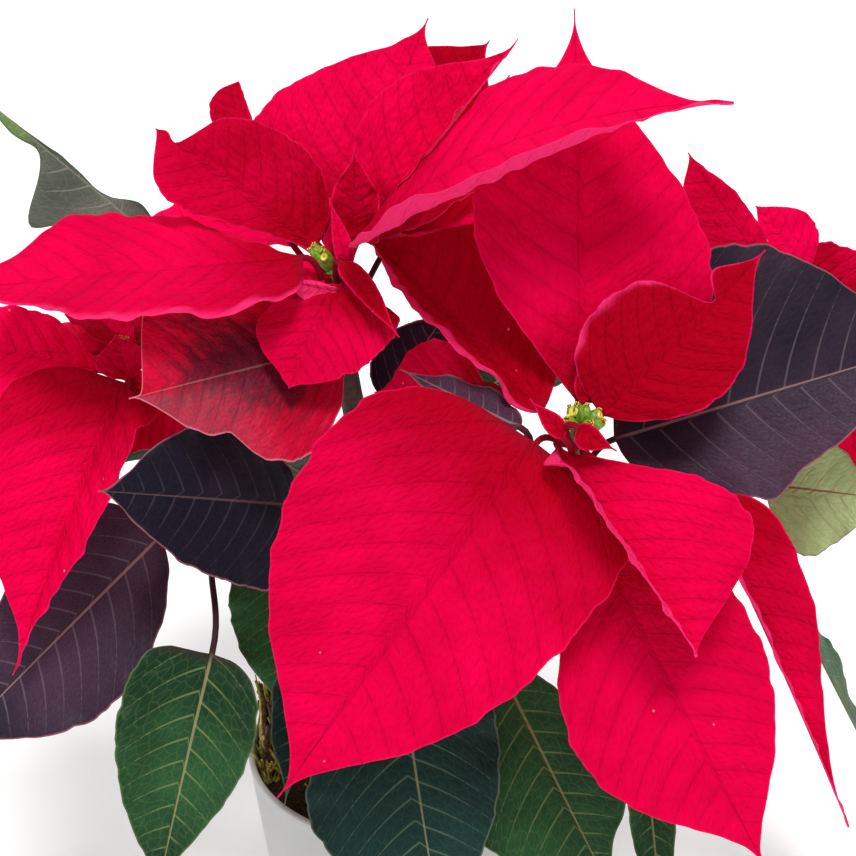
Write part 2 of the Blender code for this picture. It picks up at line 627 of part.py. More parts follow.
def build_stem():
    """The woody foot and its branches, one grown piece."""
    base = add_object("stem", tube_mesh(FOOT, STEM_SIDES, 4), "stem")
    pieces = []
    for name, branch in BRANCHES.items():
        pieces.append(add_object("branch_" + name, tube_mesh(branch, STEM_SIDES, STEM_STEPS), "stem"))
    fuse(base, pieces)


def bract_start(centre, axis, blade):
    """A bract's stalk leaves its receptacle square to the axis, on the side of the blade."""
    if blade.start is not None:
        return unit(np.array(blade.start, float))
    away = blade.joint - centre
    return unit(away - (away @ axis) * axis)


def build_head(place):
    """A head's receptacle with every bract fused to it, and its cyathia."""
    centre = np.array(HEADS[place], float)
    axis = BRANCHES[place].direction(1.0)
    drum = (
        (RECEPTACLE_FOOT, -RECEPTACLE_BELOW),
        (RECEPTACLE_RADIUS, -RECEPTACLE_FLARE),
        (RECEPTACLE_RADIUS, RECEPTACLE_ABOVE),
    )
    base = add_object("bracts_" + place, lathe_mesh(drum, 8, centre, axis), "red")
    pieces = []
    for blade in BRACTS[place]:
        mesh = blade_mesh(blade, centre - axis * BRACT_DROP, bract_start(centre, axis, blade))
        pieces.append(add_object("bract_" + blade.name, mesh, "red"))
    fuse(base, pieces)
    build_cyathia(place, centre + axis * (RECEPTACLE_ABOVE + GAP), axis)


def build_cyathia(place, seat, axis):
    """The small green cups at the middle of a head, fused on one seat."""
    count, lean, spread = CUPS[place]
    lean = unit(np.array(lean, float))
    seat_profile = ((SEAT_RADIUS, 0.0), (SEAT_RADIUS, SEAT_SHOULDER), (SEAT_TOP_RADIUS, SEAT_HEIGHT))
    base = add_object("cyathia_" + place, lathe_mesh(seat_profile, 8, seat, axis), "cyathia")
    across = unit(np.cross(lean, SLANT))
    other = np.cross(lean, across)
    pieces = []
    for i in range(count):
        angle = i * GOLDEN_ANGLE
        out = math.sqrt((i + CUP_START) / count)
        away = math.cos(angle) * across + math.sin(angle) * other
        foot = seat + axis * SEAT_SHOULDER + away * out * CUP_REACH
        way = unit(lean + away * out * spread)
        height = 1.0 + CUP_VARIATION * math.cos(i * CUP_TURN)
        cup = [(radius, rise * height) for radius, rise in CUP_PROFILE]
        pieces.append(add_object("cup", lathe_mesh(cup, CUP_SIDES, foot, way), "cyathia"))
    fuse(base, pieces)


def build_leaf(leaf):
    """A leaf whose stalk is seated on its stem."""
    place, t = leaf.stem
    branch = BRANCHES[place]
    centre, way = branch.at(t), branch.direction(t)
    away = leaf.joint - centre if leaf.start is None else np.array(leaf.start, float)
    start = unit(away - (away @ way) * way)
    root = centre + start * (branch.radius(t) + GAP)
    add_object("leaf_" + leaf.name, blade_mesh(leaf, root, start), leaf.kind)


def build():
    for old in list(bpy.data.objects):
        bpy.data.objects.remove(old)
    build_pot()
    build_soil()
    build_stem()
    for place in HEADS:
        build_head(place)
    for leaf in LEAVES:
        build_leaf(leaf)


build()
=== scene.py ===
"""Looks of the potted poinsettia: fine bracts, leaves, cyathia, stems, soil and pot round the frame.

Lengths in this script are millimetres in the model's frame unless a name says otherwise, and
MM turns them into metres. X is right, Y away from the viewer and Z up.
"""

import math

import bpy
import numpy as np
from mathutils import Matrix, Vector


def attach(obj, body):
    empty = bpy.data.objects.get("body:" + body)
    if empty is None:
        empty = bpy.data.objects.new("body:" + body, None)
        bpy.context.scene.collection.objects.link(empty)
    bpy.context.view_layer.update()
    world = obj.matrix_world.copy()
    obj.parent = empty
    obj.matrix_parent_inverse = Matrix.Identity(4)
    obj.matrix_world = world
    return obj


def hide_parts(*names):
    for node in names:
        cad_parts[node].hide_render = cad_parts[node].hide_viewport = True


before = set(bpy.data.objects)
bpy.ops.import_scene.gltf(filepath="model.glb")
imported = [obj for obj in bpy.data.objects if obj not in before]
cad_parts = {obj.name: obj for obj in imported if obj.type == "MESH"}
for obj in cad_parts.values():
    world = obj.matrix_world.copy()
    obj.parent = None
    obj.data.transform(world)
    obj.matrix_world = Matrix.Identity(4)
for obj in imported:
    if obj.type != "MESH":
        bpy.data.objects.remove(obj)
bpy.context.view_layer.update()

MM = 0.001
UP = np.array((0.0, 0.0, 1.0))
SLANT = np.array((0.3, 1.0, 0.1))
GAP = 0.3

# Pot, soil and stems
POT_HEIGHT = 115.0
POT_RIM_RADIUS = 65.0
POT_BASE_RADIUS = 49.0
POT_WALL = 2.6
POT_FLOOR = 4.0
POT_SIDES = 144
SOIL_TOP = 103.0
SOIL_LUMP = 1.3
SPRIG_STEPS = 9
SPRIG_BEND = 0.22
# Tufts on the soil: count, place, spread, lengths, radii, seed, and how upright they are
MOSS_TUFTS = (
    (40, (-54.5, 2.0), (4.0, 11.0), (10.0, 22.0), (0.5, 0.95), 5, 1.0),
    (22, (-56.0, 5.0), (2.6, 8.0), (26.0, 46.0), (0.5, 0.85), 6, 5.0),
    (40, (-20.0, -10.0), (28.0, 30.0), (4.0, 10.0), (0.3, 0.6), 7, 0.8),
)
WOODY_BITS = (
    (44, (-55.5, 5.0), (3.4, 9.0), (16.0, 44.0), (0.8, 1.5), 8, 4.5),
    (26, (0.0, 0.0), (38.0, 38.0), (5.0, 12.0), (0.6, 1.2), 9, 0.4),
)
FOOT_RADIUS = 6.0
FOOT_DEPTH = 60.0
STEM_SIDES = 20
STEM_STEPS = 90

# Blades
BLADE_HALF_THICK = 0.2
RIB_DEPTH = 1.0
RIB_WIDTH = 1.1
STALK_RADIUS = 1.15
TIP_HALF_WIDTH = 0.25
EDGE_PART = 0.6
LOBE_SPREAD = 0.07
LOBE_NEXT = 0.13
LOBE_DIP = 0.6
WAVE_OFFSET = 0.27
WAVE_POWER = 2.5
HOOK_FROM = 0.75
FOLD_STARTS = 0.125
STALK_LEAVES = 0.4
STALK_ARRIVES = 0.35
OUTLINE_SAMPLES = 201
STALK_ROWS = 12
LARGE_GRID = (90, 49)
MIDDLE_GRID = (60, 33)
SMALL_GRID = (30, 15)
LARGE_BLADE = 92.0
SMALL_BLADE = 34.0

# Veins: their number a side, how they slant and bend, and how deep they press the blade
VEIN_SPACING = 9.5
VEIN_SLANT = 0.44
VEIN_BEND = 0.42
QUILT_RED = 2.1
QUILT_GREEN = 0.6
WRINKLE = 0.14
VALLEY_ROUND = 0.08
EDGE_RIPPLES = ((7.3, 0.010), (12.7, 0.007), (21.0, 0.004))
EDGE_FLUTES = ((5.0, 0.55), (9.0, 0.40), (14.0, 0.22))

# Edges painted in the paler underside colour, as if turned over: half (0 left, 1 right), how far out it begins
LIPS = {
    ("top", "long_right"): (1, 0.62),
    ("top", "long_left"): (0, 0.80),
    ("front", "folded_right"): (1, 0.12),
    ("front", "long_right"): (1, 0.35),
    ("front", "cupped_right"): (0, 0.84),
    ("front", "back_left"): (0, 0.62),
}
LIP_WANDER = 0.07
LIP_TURNS = 17.0
LIP_PALE = 0.85
LIP_EASE = 0.14
# How far each of these blades stands between its palette's deep shade, 0, and its fresh one, 1
SHADES = {
    ("top", "long_left"): 0.62,
    ("top", "folded_left"): 0.42,
    ("top", "broad_back"): 0.62,
    ("top", "upright_right"): 0.60,
    ("top", "long_right"): 0.68,
    ("top", "rounded_front"): 0.50,
    ("front", "hero"): 0.56,
    ("front", "folded_right"): 0.58,
    ("front", "hanging_right"): 0.58,
    ("front", "long_right"): 0.50,
    ("front", "upright"): 0.60,
    ("front", "cupped_right"): 0.14,
    ("front", "back_left"): 0.36,
    ("front", "little_left"): 0.25,
    ("front", "little_right"): 0.25,
    ("left", "hanging"): 0.60,
    ("right", "upper_left"): 0.50,
    ("right", "right"): 0.52,
    ("leaf", "left_middle"): 0.0,
    ("leaf", "right_large"): 0.47,
    ("leaf", "left_low"): 0.58,
    ("leaf", "left_inner"): 1.0,
    ("leaf", "front_left"): 0.38,
    ("leaf", "front_right"): 0.55,
    ("leaf", "upper_left"): 0.45,
}

# Receptacle and cyathia
RECEPTACLE_FOOT = 2.9
RECEPTACLE_RADIUS = 4.4
RECEPTACLE_FLARE = 2.5
RECEPTACLE_BELOW = 6.2
RECEPTACLE_ABOVE = 3.0
BRACT_DROP = 1.2
SEAT_RADIUS = 2.6
SEAT_HEIGHT = 1.8
SEAT_SHOULDER = 1.08
CUP_START = 0.3
CUP_REACH = 1.56
CUP_VARIATION = 0.25
CUP_TURN = 2.1
GOLDEN_ANGLE = math.radians(137.5)

# The camera stands where the photograph was taken from
AIM = np.array((7.0, 0.0, 258.0))
CAMERA_DISTANCE = 950.0
CAMERA_ELEVATION = 27.0
FOCAL_PIXELS = 2530.0
PHOTO_PIXELS = 856.0
SENSOR = 36.0


def unit(v):
    return v / np.linalg.norm(v)


def curve(points, t):
    """Points at t on the cubic curve through its first and last control points."""
    t = np.asarray(t, float)[:, None]
    a, b, c, d = np.array(points, float)
    return (1 - t) ** 3 * a + 3 * (1 - t) ** 2 * t * b + 3 * (1 - t) * t**2 * c + t**3 * d


class Branch:
    """A stem: a cubic curve with its radius at both ends."""

    def __init__(self, points, foot_radius, top_radius):
        self.points = points
        self.radii = (foot_radius, top_radius)

    def at(self, t):
        return curve(self.points, [t])[0]

    def direction(self, t):
        ends = curve(self.points, [max(t - 0.01, 0.0), min(t + 0.01, 1.0)])
        return unit(ends[1] - ends[0])

    def radius(self, t):
        return self.radii[0] + (self.radii[1] - self.radii[0]) * t


def branch_to(place, foot, low, high, foot_radius, top_radius):
    """A branch that runs straight into its head's receptacle."""
    centre = np.array(HEADS[place], float)
    axis = unit(centre - high)
    return Branch((foot, low, high, centre - axis * (RECEPTACLE_BELOW + GAP)), foot_radius, top_radius)


class Blade:
    """A bract or a leaf: where its blade starts and ends, and its form.

    Pairs are for its two halves, left then right as seen from the stalk with its face up.
    half is a half's width, belly the place of that width along the blade (0 at the stalk, 1 at
    the tip) and full how rounded the half is. roll turns the face about the chord, arch and
    sweep bow the midrib, fold raises a half, and curl raises its outer part further.
    """

    def __init__(self, name, joint, tip, half=(30, 30), roll=0, arch=0, sweep=0, fold=(8, 8),
                 curl=(0, 0), belly=(0.38, 0.38), full=(0.6, 0.6), taper=(6, 2),
                 lobe=((0, 0.5), (0, 0.5)), wave=1.5, waves=3, phase=0, hook=0, twist=0,
                 start=None, stem=None, kind="red"):
        self.name = name
        self.joint = np.array(joint, float)
        self.tip = np.array(tip, float)
        self.half = half
        self.roll = roll
        self.arch = arch
        self.sweep = sweep
        self.fold = fold
        self.curl = curl
        self.belly = belly
        self.full = full
        self.taper = taper
        self.lobe = lobe
        self.wave = wave
        self.waves = waves
        self.phase = phase
        self.hook = hook
        self.twist = twist
        self.start = start
        self.stem = stem
        self.kind = kind


FOOT = Branch(((0, 0, FOOT_DEPTH), (0, 0, 85), (0, 0, 110), (1, 0, 140)), FOOT_RADIUS, 5.6)
HEADS = {
    "top": (-27, -2, 319),
    "front": (60, -60, 284),
    "left": (-103, -10, 288),
    "right": (146, 50, 288),
    "back": (-31, 95, 290),
}
BRANCHES = {
    "top": branch_to("top", (1, 0, 128), (-4, 4, 200), (-24, 0, 255), 5.0, 3.4),
    "front": branch_to("front", (1, -1, 122), (14, -12, 190), (52, -50, 225), 4.8, 3.4),
    "left": branch_to("left", (-1, 0, 118), (-22, 2, 180), (-80, -6, 225), 4.4, 3.0),
    "right": branch_to("right", (2, 2, 120), (30, 12, 190), (122, 42, 220), 4.4, 3.0),
    "back": branch_to("back", (0, 3, 118), (-6, 26, 190), (-26, 80, 230), 4.2, 3.0),
}
# For each head: how many cups, the way they lean, how far they spread, their girth and height
CUPS = {
    "top": (4, (-0.55, 0.1, 0.9), 0.2, 0.85, 1.4),
    "front": (8, (0.1, -0.25, 1.0), 1.35, 1.15, 1.3),
    "left": (4, (0.1, -0.2, 1.0), 0.4, 1.0, 1.0),
    "right": (3, (0.0, -0.1, 1.0), 0.4, 1.0, 1.0),
    "back": (3, (0.0, 0.1, 1.0), 0.4, 1.0, 1.0),
}


BRACTS = {
    "top": (
        Blade("long_left", (-38, -13, 333), (-159, -28, 327), half=(41, 42), roll=6, fold=(6, 4),
              belly=(0.31, 0.58), full=(0.5, 0.8), taper=(10, 1.5)),
        Blade("folded_left", (-35, 6, 327), (-92, 22, 369), half=(20, 28), roll=54, fold=(22, 10),
              belly=(0.74, 0.4), full=(0.55, 0.6), taper=(14, 1.2), lobe=((0, 0.5), (-1, 0.89))),
        Blade("small_behind", (-54, 28, 347), (-64, 56, 375), half=(13.5, 1.5), roll=13,
              belly=(0.7, 0.5), full=(0.35, 0.6), taper=(30, 0.7), wave=0.5),
        Blade("broad_back", (-27, 12, 330), (7, 58, 399), half=(44, 34), roll=-27, arch=2, fold=(4, 8),
              belly=(0.3, 0.45), taper=(5, 1.8)),
        Blade("back_right", (-24, 16, 332), (30, 62, 389), half=(27, 22), roll=-38, arch=2, fold=(6, 8),
              belly=(0.6, 0.5), full=(0.7, 0.7), taper=(10, 1.5)),
        Blade("upright_right", (-18, 4, 333), (39, 18, 404), half=(27, 18), roll=-57, fold=(6, 82),
              belly=(0.5, 0.4), full=(0.7, 0.7)),
        Blade("little_upright", (-21, 4, 334), (-19, 4, 368), half=(8, 10), roll=-88, belly=(0.4, 0.4),
              full=(0.8, 0.8), taper=(5, 1.5)),
        Blade("long_right", (-20, -10, 337), (108, -54, 406), half=(40, 44), roll=-16, arch=16,
              fold=(4, 4), curl=(0, 40), belly=(0.55, 0.45), full=(1.2, 0.8), taper=(4, 1.1)),
        Blade("narrow_front", (-24, -17, 332), (-3, -46, 317), half=(5.5, 3), roll=-32,
              belly=(0.28, 0.22), full=(0.7, 0.6), taper=(5, 1.5), wave=0.4),
        Blade("narrow_upper", (-22, -14, 329), (-28, -8, 354), half=(3, 4), roll=40, belly=(0.3, 0.3),
              full=(0.7, 0.7), taper=(4, 1.5), wave=0.3),
        Blade("rounded_front", (-23, -18, 324), (-42, -48, 298), half=(25, 21), roll=25,
              belly=(0.2, 0.62), full=(0.4, 0.42), taper=(9, 1.4), wave=1),
        Blade("curled_front", (-26, -19, 323), (-44, -27, 330), half=(2, 6), roll=-111,
              belly=(0.45, 0.42), full=(0.7, 0.7), wave=0),
        Blade("inner_left", (-31, -8, 323), (-44, -14, 320), half=(8, 11), roll=47, belly=(0.45, 0.45),
              wave=0.5),
        Blade("little_behind", (-27, 8, 324), (-28, 14, 337), half=(4, 5), roll=8, belly=(0.45, 0.45),
              wave=0),
    ),
    "front": (
        Blade("hero", (44, -73, 289), (-45, -125, 178), half=(50, 61), roll=50, arch=10, fold=(10, 8),
              belly=(0.19, 0.3), full=(0.33, 0.55)),
        Blade("folded_right", (52, -74, 288), (98, -122, 234), half=(41, 22), roll=-34, arch=4,
              fold=(4, 80), belly=(0.62, 0.4), full=(0.8, 0.7), taper=(14, 1.5)),
        Blade("hanging_right", (66, -82, 254), (129, -110, 135), half=(35, 41), roll=-56, arch=6,
              fold=(6, 6), belly=(0.36, 0.46), full=(0.6, 0.8)),
        Blade("long_right", (105, -67, 263), (161, -88, 139), half=(21.5, 14), roll=-50, arch=4,
              fold=(6, 72), belly=(0.26, 0.4), full=(0.7, 0.8), taper=(3, 2), start=(0.4, 0.1, -1)),
        Blade("upright", (60, -48, 292), (59, 22, 414), half=(38, 47), roll=-3, arch=4,
              belly=(0.54, 0.33), full=(0.9, 0.75), taper=(4, 1.6)),
        Blade("cupped_right", (68, -54, 291), (123, -44, 349), half=(28, 25), roll=-64, arch=2,
              fold=(10, 10), belly=(0.35, 0.5), full=(0.7, 0.7), taper=(5, 1.4),
              lobe=((-1, 0.69), (0, 0.5))),
        Blade("narrow_upright", (61, -52, 295), (69, -46, 320), half=(5, 8), roll=-47,
              belly=(0.35, 0.45), full=(0.7, 0.8), taper=(5, 1.5), wave=0.4),
        Blade("little_left", (53, -80, 295), (42, -66, 303), half=(3, 4.2), roll=38, belly=(0.35, 0.35),
              full=(0.7, 0.7), taper=(3, 1.6), wave=0.3),
        Blade("little_right", (58, -82, 300), (71, -86, 293), half=(3.2, 6), roll=-58, belly=(0.3, 0.35),
              taper=(3, 1.8), wave=0.3),
        Blade("back_left", (47, -48, 289), (-18, 30, 325), half=(22, 40), roll=36, arch=2, fold=(66, 4),
              belly=(0.5, 0.55), full=(0.7, 0.55)),
    ),
    "left": (
        Blade("hanging", (-102, -22, 287), (-145, -62, 188), half=(22, 43), roll=41, arch=8,
              fold=(56, 6), belly=(0.28, 0.33), full=(0.6, 0.5), taper=(4, 2.4)),
        Blade("left", (-114, -10, 287), (-172, -5, 296), half=(20, 19), roll=38, belly=(0.5, 0.55),
              full=(0.5, 0.6), taper=(8, 1.5)),
        Blade("behind", (-106, 0, 285), (-117, 22, 294), half=(16, 10), roll=30, belly=(0.5, 0.5),
              full=(0.5, 0.5), taper=(6, 1)),
        Blade("lower_right", (-101, -18, 288), (-74, -36, 274), half=(14, 22), roll=-45,
              belly=(0.5, 0.5), taper=(5, 1.2)),
        Blade("young", (-101, -26, 291), (-105, -24, 308), half=(10, 9), roll=58, belly=(0.5, 0.5),
              taper=(5, 1.3), wave=0.5),
        Blade("back_left", (-112, 4, 288), (-188, 46, 276), half=(26, 26), roll=-10),
        Blade("back", (-102, 4, 290), (-114, 82, 296), half=(25, 25)),
    ),
    "right": (
        Blade("upper_left", (141, 52, 294), (107, 68, 342), half=(22, 8), roll=49, belly=(0.5, 0.45),
              full=(0.5, 0.6), taper=(6, 1.1)),
        Blade("right", (154, 58, 293), (205, 72, 267), half=(20, 20), roll=-46, belly=(0.28, 0.4),
              full=(0.4, 0.6)),
        Blade("upper_right", (150, 56, 294), (134, 66, 321), half=(4, 17), roll=44, belly=(0.5, 0.5),
              full=(0.5, 0.5), taper=(8, 1), wave=0.8),
        Blade("lower", (166, 45, 277), (177, 26, 217), half=(16, 16), roll=-22, belly=(0.45, 0.45),
              full=(0.7, 0.7)),
        Blade("back_right", (156, 58, 290), (212, 98, 284), half=(24, 24)),
        Blade("back", (147, 66, 285), (130, 146, 282), half=(24, 24)),
    ),
    "back": (
        Blade("left", (-41, 98, 294), (-128, 128, 280), arch=8),
        Blade("back_left", (-37, 104, 294), (-96, 172, 294), half=(29, 29), arch=8),
        Blade("back", (-29, 106, 294), (-22, 205, 306), half=(31, 31), arch=8),
        Blade("back_right", (-21, 103, 294), (52, 176, 304), arch=8),
        Blade("right", (-18, 97, 294), (80, 120, 280), half=(28, 28), arch=8),
    ),
}
LEAVES = (
    Blade("red_middle", (27, -24, 288), (-13, 2, 272), stem=("front", 0.76), half=(5, 18), roll=65,
          belly=(0.45, 0.45), full=(0.7, 0.8), taper=(5, 1.5)),
    Blade("right_large", (74, -40, 274), (195, -20, 304), stem=("front", 0.82), half=(55, 34), roll=-57,
          arch=3, belly=(0.48, 0.36), full=(0.7, 0.8), taper=(5, 1.5), lobe=((0, 0.5), (0.1, 0.38)),
          kind="dark"),
    Blade("upper_left", (-74, 36, 299), (-168, 58, 375), stem=("top", 0.86), half=(14, 3), roll=45,
          belly=(0.5, 0.3), full=(0.5, 0.9), taper=(4, 2), lobe=((1.25, 0.56), (1.2, 0.34)), kind="grey"),
    Blade("left_middle", (-40, -26, 239), (-108, -70, 269), stem=("left", 0.56), half=(32, 28), roll=66,
          arch=3, belly=(0.22, 0.48), full=(0.5, 0.65), taper=(8, 1.4), kind="dark"),
    Blade("left_low", (-94, -18, 221), (-171, -60, 155), stem=("left", 0.7), half=(33, 30), roll=47,
          arch=2, belly=(0.5, 0.25), full=(0.6, 0.5), taper=(7, 1.3), kind="dark"),
    Blade("front_left", (-71, -70, 202), (-94, -95, 108), stem=("left", 0.64), half=(22.5, 28), roll=38,
          arch=6, belly=(0.28, 0.28), full=(0.7, 0.35), taper=(4, 2), kind="green",
          start=(-0.7, -1, -0.3)),
    Blade("left_inner", (-41, -8, 211), (-48, -28, 146), stem=("left", 0.4), half=(16, 26), roll=17,
          belly=(0.4, 0.28), full=(0.7, 0.5), taper=(6, 1.5), kind="green"),
    Blade("front_middle", (-2, -72, 188), (12, -108, 105), stem=("front", 0.3), half=(32, 41), roll=-19,
          arch=4, belly=(0.2, 0.42), full=(0.4, 0.7), kind="teal"),
    Blade("front_right", (34, -50, 183), (77, -82, 102), stem=("front", 0.42), half=(21, 37), roll=-46,
          arch=4, belly=(0.5, 0.5), full=(0.45, 0.7), lobe=((0.2, 0.66), (0, 0.5)), kind="green"),
    Blade("right_turned", (135, 0, 234), (184, -20, 238), stem=("right", 0.62), half=(27, 27), roll=-93,
          belly=(0.4, 0.35), full=(0.9, 0.9), taper=(3, 1.2), kind="olive"),
    Blade("right_low", (154, 10, 171), (193, 5, 92), stem=("right", 0.5), half=(22, 22), roll=7,
          kind="green"),
    Blade("front_far_right", (90, -36, 142), (98, -62, 71), stem=("front", 0.5), half=(9, 9), roll=-15,
          kind="green"),
    Blade("centre_short", (-8, 8, 265), (15, 26, 296), stem=("top", 0.6), half=(15, 14), roll=-40,
          kind="dark"),
    Blade("centre_narrow", (39, -56, 287), (-3, -26, 295), stem=("front", 0.8), half=(9, 9), roll=14,
          kind="dark"),
    Blade("front_inner", (-35, -50, 196), (-46, -78, 141), stem=("front", 0.2), half=(9, 12), roll=-1,
          kind="teal"),
    Blade("two_tone", (-23, -18, 301), (-97, -58, 299), stem=("top", 0.93), half=(36, 34), roll=59,
          arch=2, fold=(6, -3), belly=(0.38, 0.7), full=(1.1, 0.35), taper=(16, 1.1),
          lobe=((-0.25, 0.63), (-1, 0.965)), kind="two"),
    Blade("top_behind", (-9, 24, 320), (38, 72, 372), stem=("top", 0.95), half=(13, 15), roll=-40,
          belly=(0.75, 0.75), full=(1.2, 1.2), taper=(8, 1.2), kind="dark"),
    Blade("back_far_right", (100, 62, 208), (152, 138, 200), stem=("right", 0.55), half=(28, 28), arch=6,
          kind="green"),
    Blade("back_right", (18, 84, 226), (88, 160, 212), stem=("back", 0.55), half=(27, 27), arch=6,
          kind="green"),
    Blade("back_left", (-58, 96, 236), (-128, 148, 218), stem=("back", 0.7), half=(28, 28), arch=6,
          kind="green"),
    Blade("back_far_left", (-80, 34, 228), (-148, 84, 208), stem=("left", 0.6), half=(26, 26), arch=6,
          kind="green"),
    Blade("back_low_left", (-34, 70, 186), (-66, 146, 168), stem=("back", 0.35), half=(27, 27), arch=6,
          kind="green"),
    Blade("back_low_right", (52, 52, 186), (78, 132, 168), stem=("right", 0.35), half=(27, 27), arch=6,
          kind="green"),
)


def outline(u, belly, full, taper, lobe):
    """A half's width along the blade, 1 at its widest, with a lobe, or a notch if its size is below 0."""
    lean = math.log(0.5) / math.log(belly)

    def plain(x):
        x = np.clip(x, 0.0, 1.0)
        return np.sin(math.pi * x**lean) ** full * (1 - x ** taper[0]) ** taper[1]

    size, place = lobe
    rise = np.exp(-(((u - place) / LOBE_SPREAD) ** 2))
    dip = np.exp(-(((u - place - LOBE_NEXT) / LOBE_SPREAD) ** 2))
    widest = plain(np.linspace(0.0, 1.0, OUTLINE_SAMPLES)).max()
    return plain(u) / widest * (1 + size * rise - LOBE_DIP * max(size, 0.0) * dip)


def blade_axes(blade):
    """Unit vectors across the blade and out of its face, square to its chord."""
    along = unit(blade.tip - blade.joint)
    side = unit(np.cross(along, UP))
    face = np.cross(side, along)
    turn = math.radians(blade.roll)
    return (math.cos(turn) * side + math.sin(turn) * face,
            math.cos(turn) * face - math.sin(turn) * side)


def spine_points(blade, root, start, stations, steps):
    """Points down the stalk and then the midrib, and how far along the blade each one is."""
    side, face = blade_axes(blade)
    knee = (blade.joint + blade.tip) / 2 + 2 * blade.arch * face + 2 * blade.sweep * side
    t = np.array(stations)[:, None]
    midrib = (1 - t) ** 2 * blade.joint + 2 * (1 - t) * t * knee + t**2 * blade.tip
    midrib += np.clip((t - HOOK_FROM) / (1 - HOOK_FROM), 0, 1) ** 2 * blade.hook * face
    reach = np.linalg.norm(blade.joint - root)
    first = unit(knee - blade.joint)
    leave = root + start * reach * STALK_LEAVES
    arrive = blade.joint - first * reach * STALK_ARRIVES
    down = np.linspace(0, 1, steps + 1)[:-1]
    stalk = curve((root, leave, arrive, blade.joint), down)
    along = np.concatenate([down - 1.0 - 1e-6, stations])
    return np.concatenate([stalk, midrib]), along


def carried_axes(blade, points, along, start):
    """The side and face directions at each point of the spine."""
    tangent = np.gradient(points, axis=0)
    tangent[0] = start
    tangent /= np.linalg.norm(tangent, axis=1)[:, None]
    side = np.repeat(blade_axes(blade)[0][None], len(points), 0)
    side -= (side * tangent).sum(1)[:, None] * tangent
    side /= np.linalg.norm(side, axis=1)[:, None]
    face = np.cross(side, tangent)
    turn = np.radians(blade.twist) * np.clip(along, 0, 1)
    cos, sin = np.cos(turn)[:, None], np.sin(turn)[:, None]
    return cos * side + sin * face, cos * face - sin * side


def half_widths(blade, along, across, rng):
    """The half width at each grid point, and that width as a share of the half's widest."""
    u = np.clip(along, 0, 1)
    least = np.where(along < 0, STALK_RADIUS, STALK_RADIUS + (TIP_HALF_WIDTH - STALK_RADIUS) * u)
    sides = []
    for i in (0, 1):
        width = blade.half[i] * outline(u, blade.belly[i], blade.full[i], blade.taper, blade.lobe[i])
        for cycles, size in EDGE_RIPPLES:
            width = width * (1 + size * np.sin(2 * math.pi * cycles * u + rng.uniform(0, 6.28)))
        sides.append(np.maximum(np.where(along > 0, width, 0), least))
    width = np.where(across[None] < 0, sides[0][:, None], sides[1][:, None])
    widest = np.where(across < 0, blade.half[0], blade.half[1])[None]
    return width, width / widest


def smooth(x, low, high):
    """0 below low, 1 above high and an even slope between."""
    t = np.clip((x - low) / (high - low), 0, 1)
    return t * t * (3 - 2 * t)


def vein_places(blade, along, across, width):
    """Distances from the midrib, and a number that is whole along each side vein."""
    length = np.linalg.norm(blade.tip - blade.joint)
    spacing = max(VEIN_SPACING * (length / 120) ** 0.5, length / 12)
    x = np.abs(across[None]) * width
    u = np.clip(along, 0, 1)[:, None]
    run = u * length - VEIN_SLANT * x - VEIN_BEND * x**2 / max(blade.half)
    return x, run / spacing + 0.5 * (across[None] > 0), spacing


def relief(blade, along, across, width, rng):
    """How far the sheet rises between its veins and at its fluted edges."""
    x, veins, _ = vein_places(blade, along, across, width)
    u = np.clip(along, 0, 1)[:, None]
    leafy = (along > 0)[:, None] * smooth(u, 0.0, 0.1)
    depth = QUILT_RED if blade.kind in ("red", "two") else QUILT_GREEN
    cushion = (np.sin(math.pi * veins) ** 2 + VALLEY_ROUND) ** 0.4 - 0.5
    inside = smooth(x, 0.5, 5.0) * smooth((1 - np.abs(across[None])) * width, 0.0, 6.0)
    swell = 0.6 + 0.4 * np.sin(0.23 * x + 2.1 * veins + rng.uniform(0, 6.28))
    rise = depth * cushion * inside * swell
    rise = rise + WRINKLE * depth * np.sin(x * 1.05 + 1.7 * np.sin(1.3 * veins)) * np.abs(cushion) * inside
    size = min(1.0, max(blade.half) / 30)
    for cycles, height in EDGE_FLUTES:
        turn = 2 * math.pi * cycles * u + rng.uniform(0, 6.28) + (across[None] > 0) * 2.0
        rise = rise + size * height * np.abs(across[None]) ** 6 * np.sin(turn)
    crease = -0.45 * np.exp(-((x / 1.5) ** 2)) * (1 - u)
    return (rise + crease) * leafy


def middle_surface(blade, root, start, stations, across, steps, rng):
    """The sheet halfway through the blade, its normals, each row's place and the half widths."""
    points, along = spine_points(blade, root, start, stations, steps)
    side, face = carried_axes(blade, points, along, start)
    width, share = half_widths(blade, along, across, rng)
    left = across[None] < 0
    leafy = (along > 0)[:, None]
    u = np.clip(along, 0, 1)[:, None]
    fold = np.radians(np.where(left, *blade.fold)) * leafy * np.clip(u / FOLD_STARTS, 0, 1)
    edge_fold = fold + np.radians(np.where(left, *blade.curl)) * leafy
    inner = np.minimum(np.abs(across[None]), EDGE_PART) * width
    outer = np.clip(np.abs(across[None]) - EDGE_PART, 0, 1) * width
    out = inner * np.cos(fold) + outer * np.cos(edge_fold)
    up = inner * np.sin(fold) + outer * np.sin(edge_fold)
    turn = 2 * math.pi * (blade.waves * u + WAVE_OFFSET * (across[None] > 0)) + blade.phase
    up = up + blade.wave * np.abs(across[None]) ** WAVE_POWER * np.sin(turn) * share * leafy
    sheet = points[:, None] + side[:, None] * (np.sign(across)[None] * out)[..., None]
    sheet = sheet + face[:, None] * up[..., None]
    normal = np.cross(np.gradient(sheet, axis=1), np.gradient(sheet, axis=0))
    normal = np.where((along < 0)[:, None, None], face[:, None], normal)
    normal = normal / np.linalg.norm(normal, axis=2)[..., None]
    sheet = sheet + normal * relief(blade, along, across, width, rng)[..., None]
    return sheet, normal, along, width


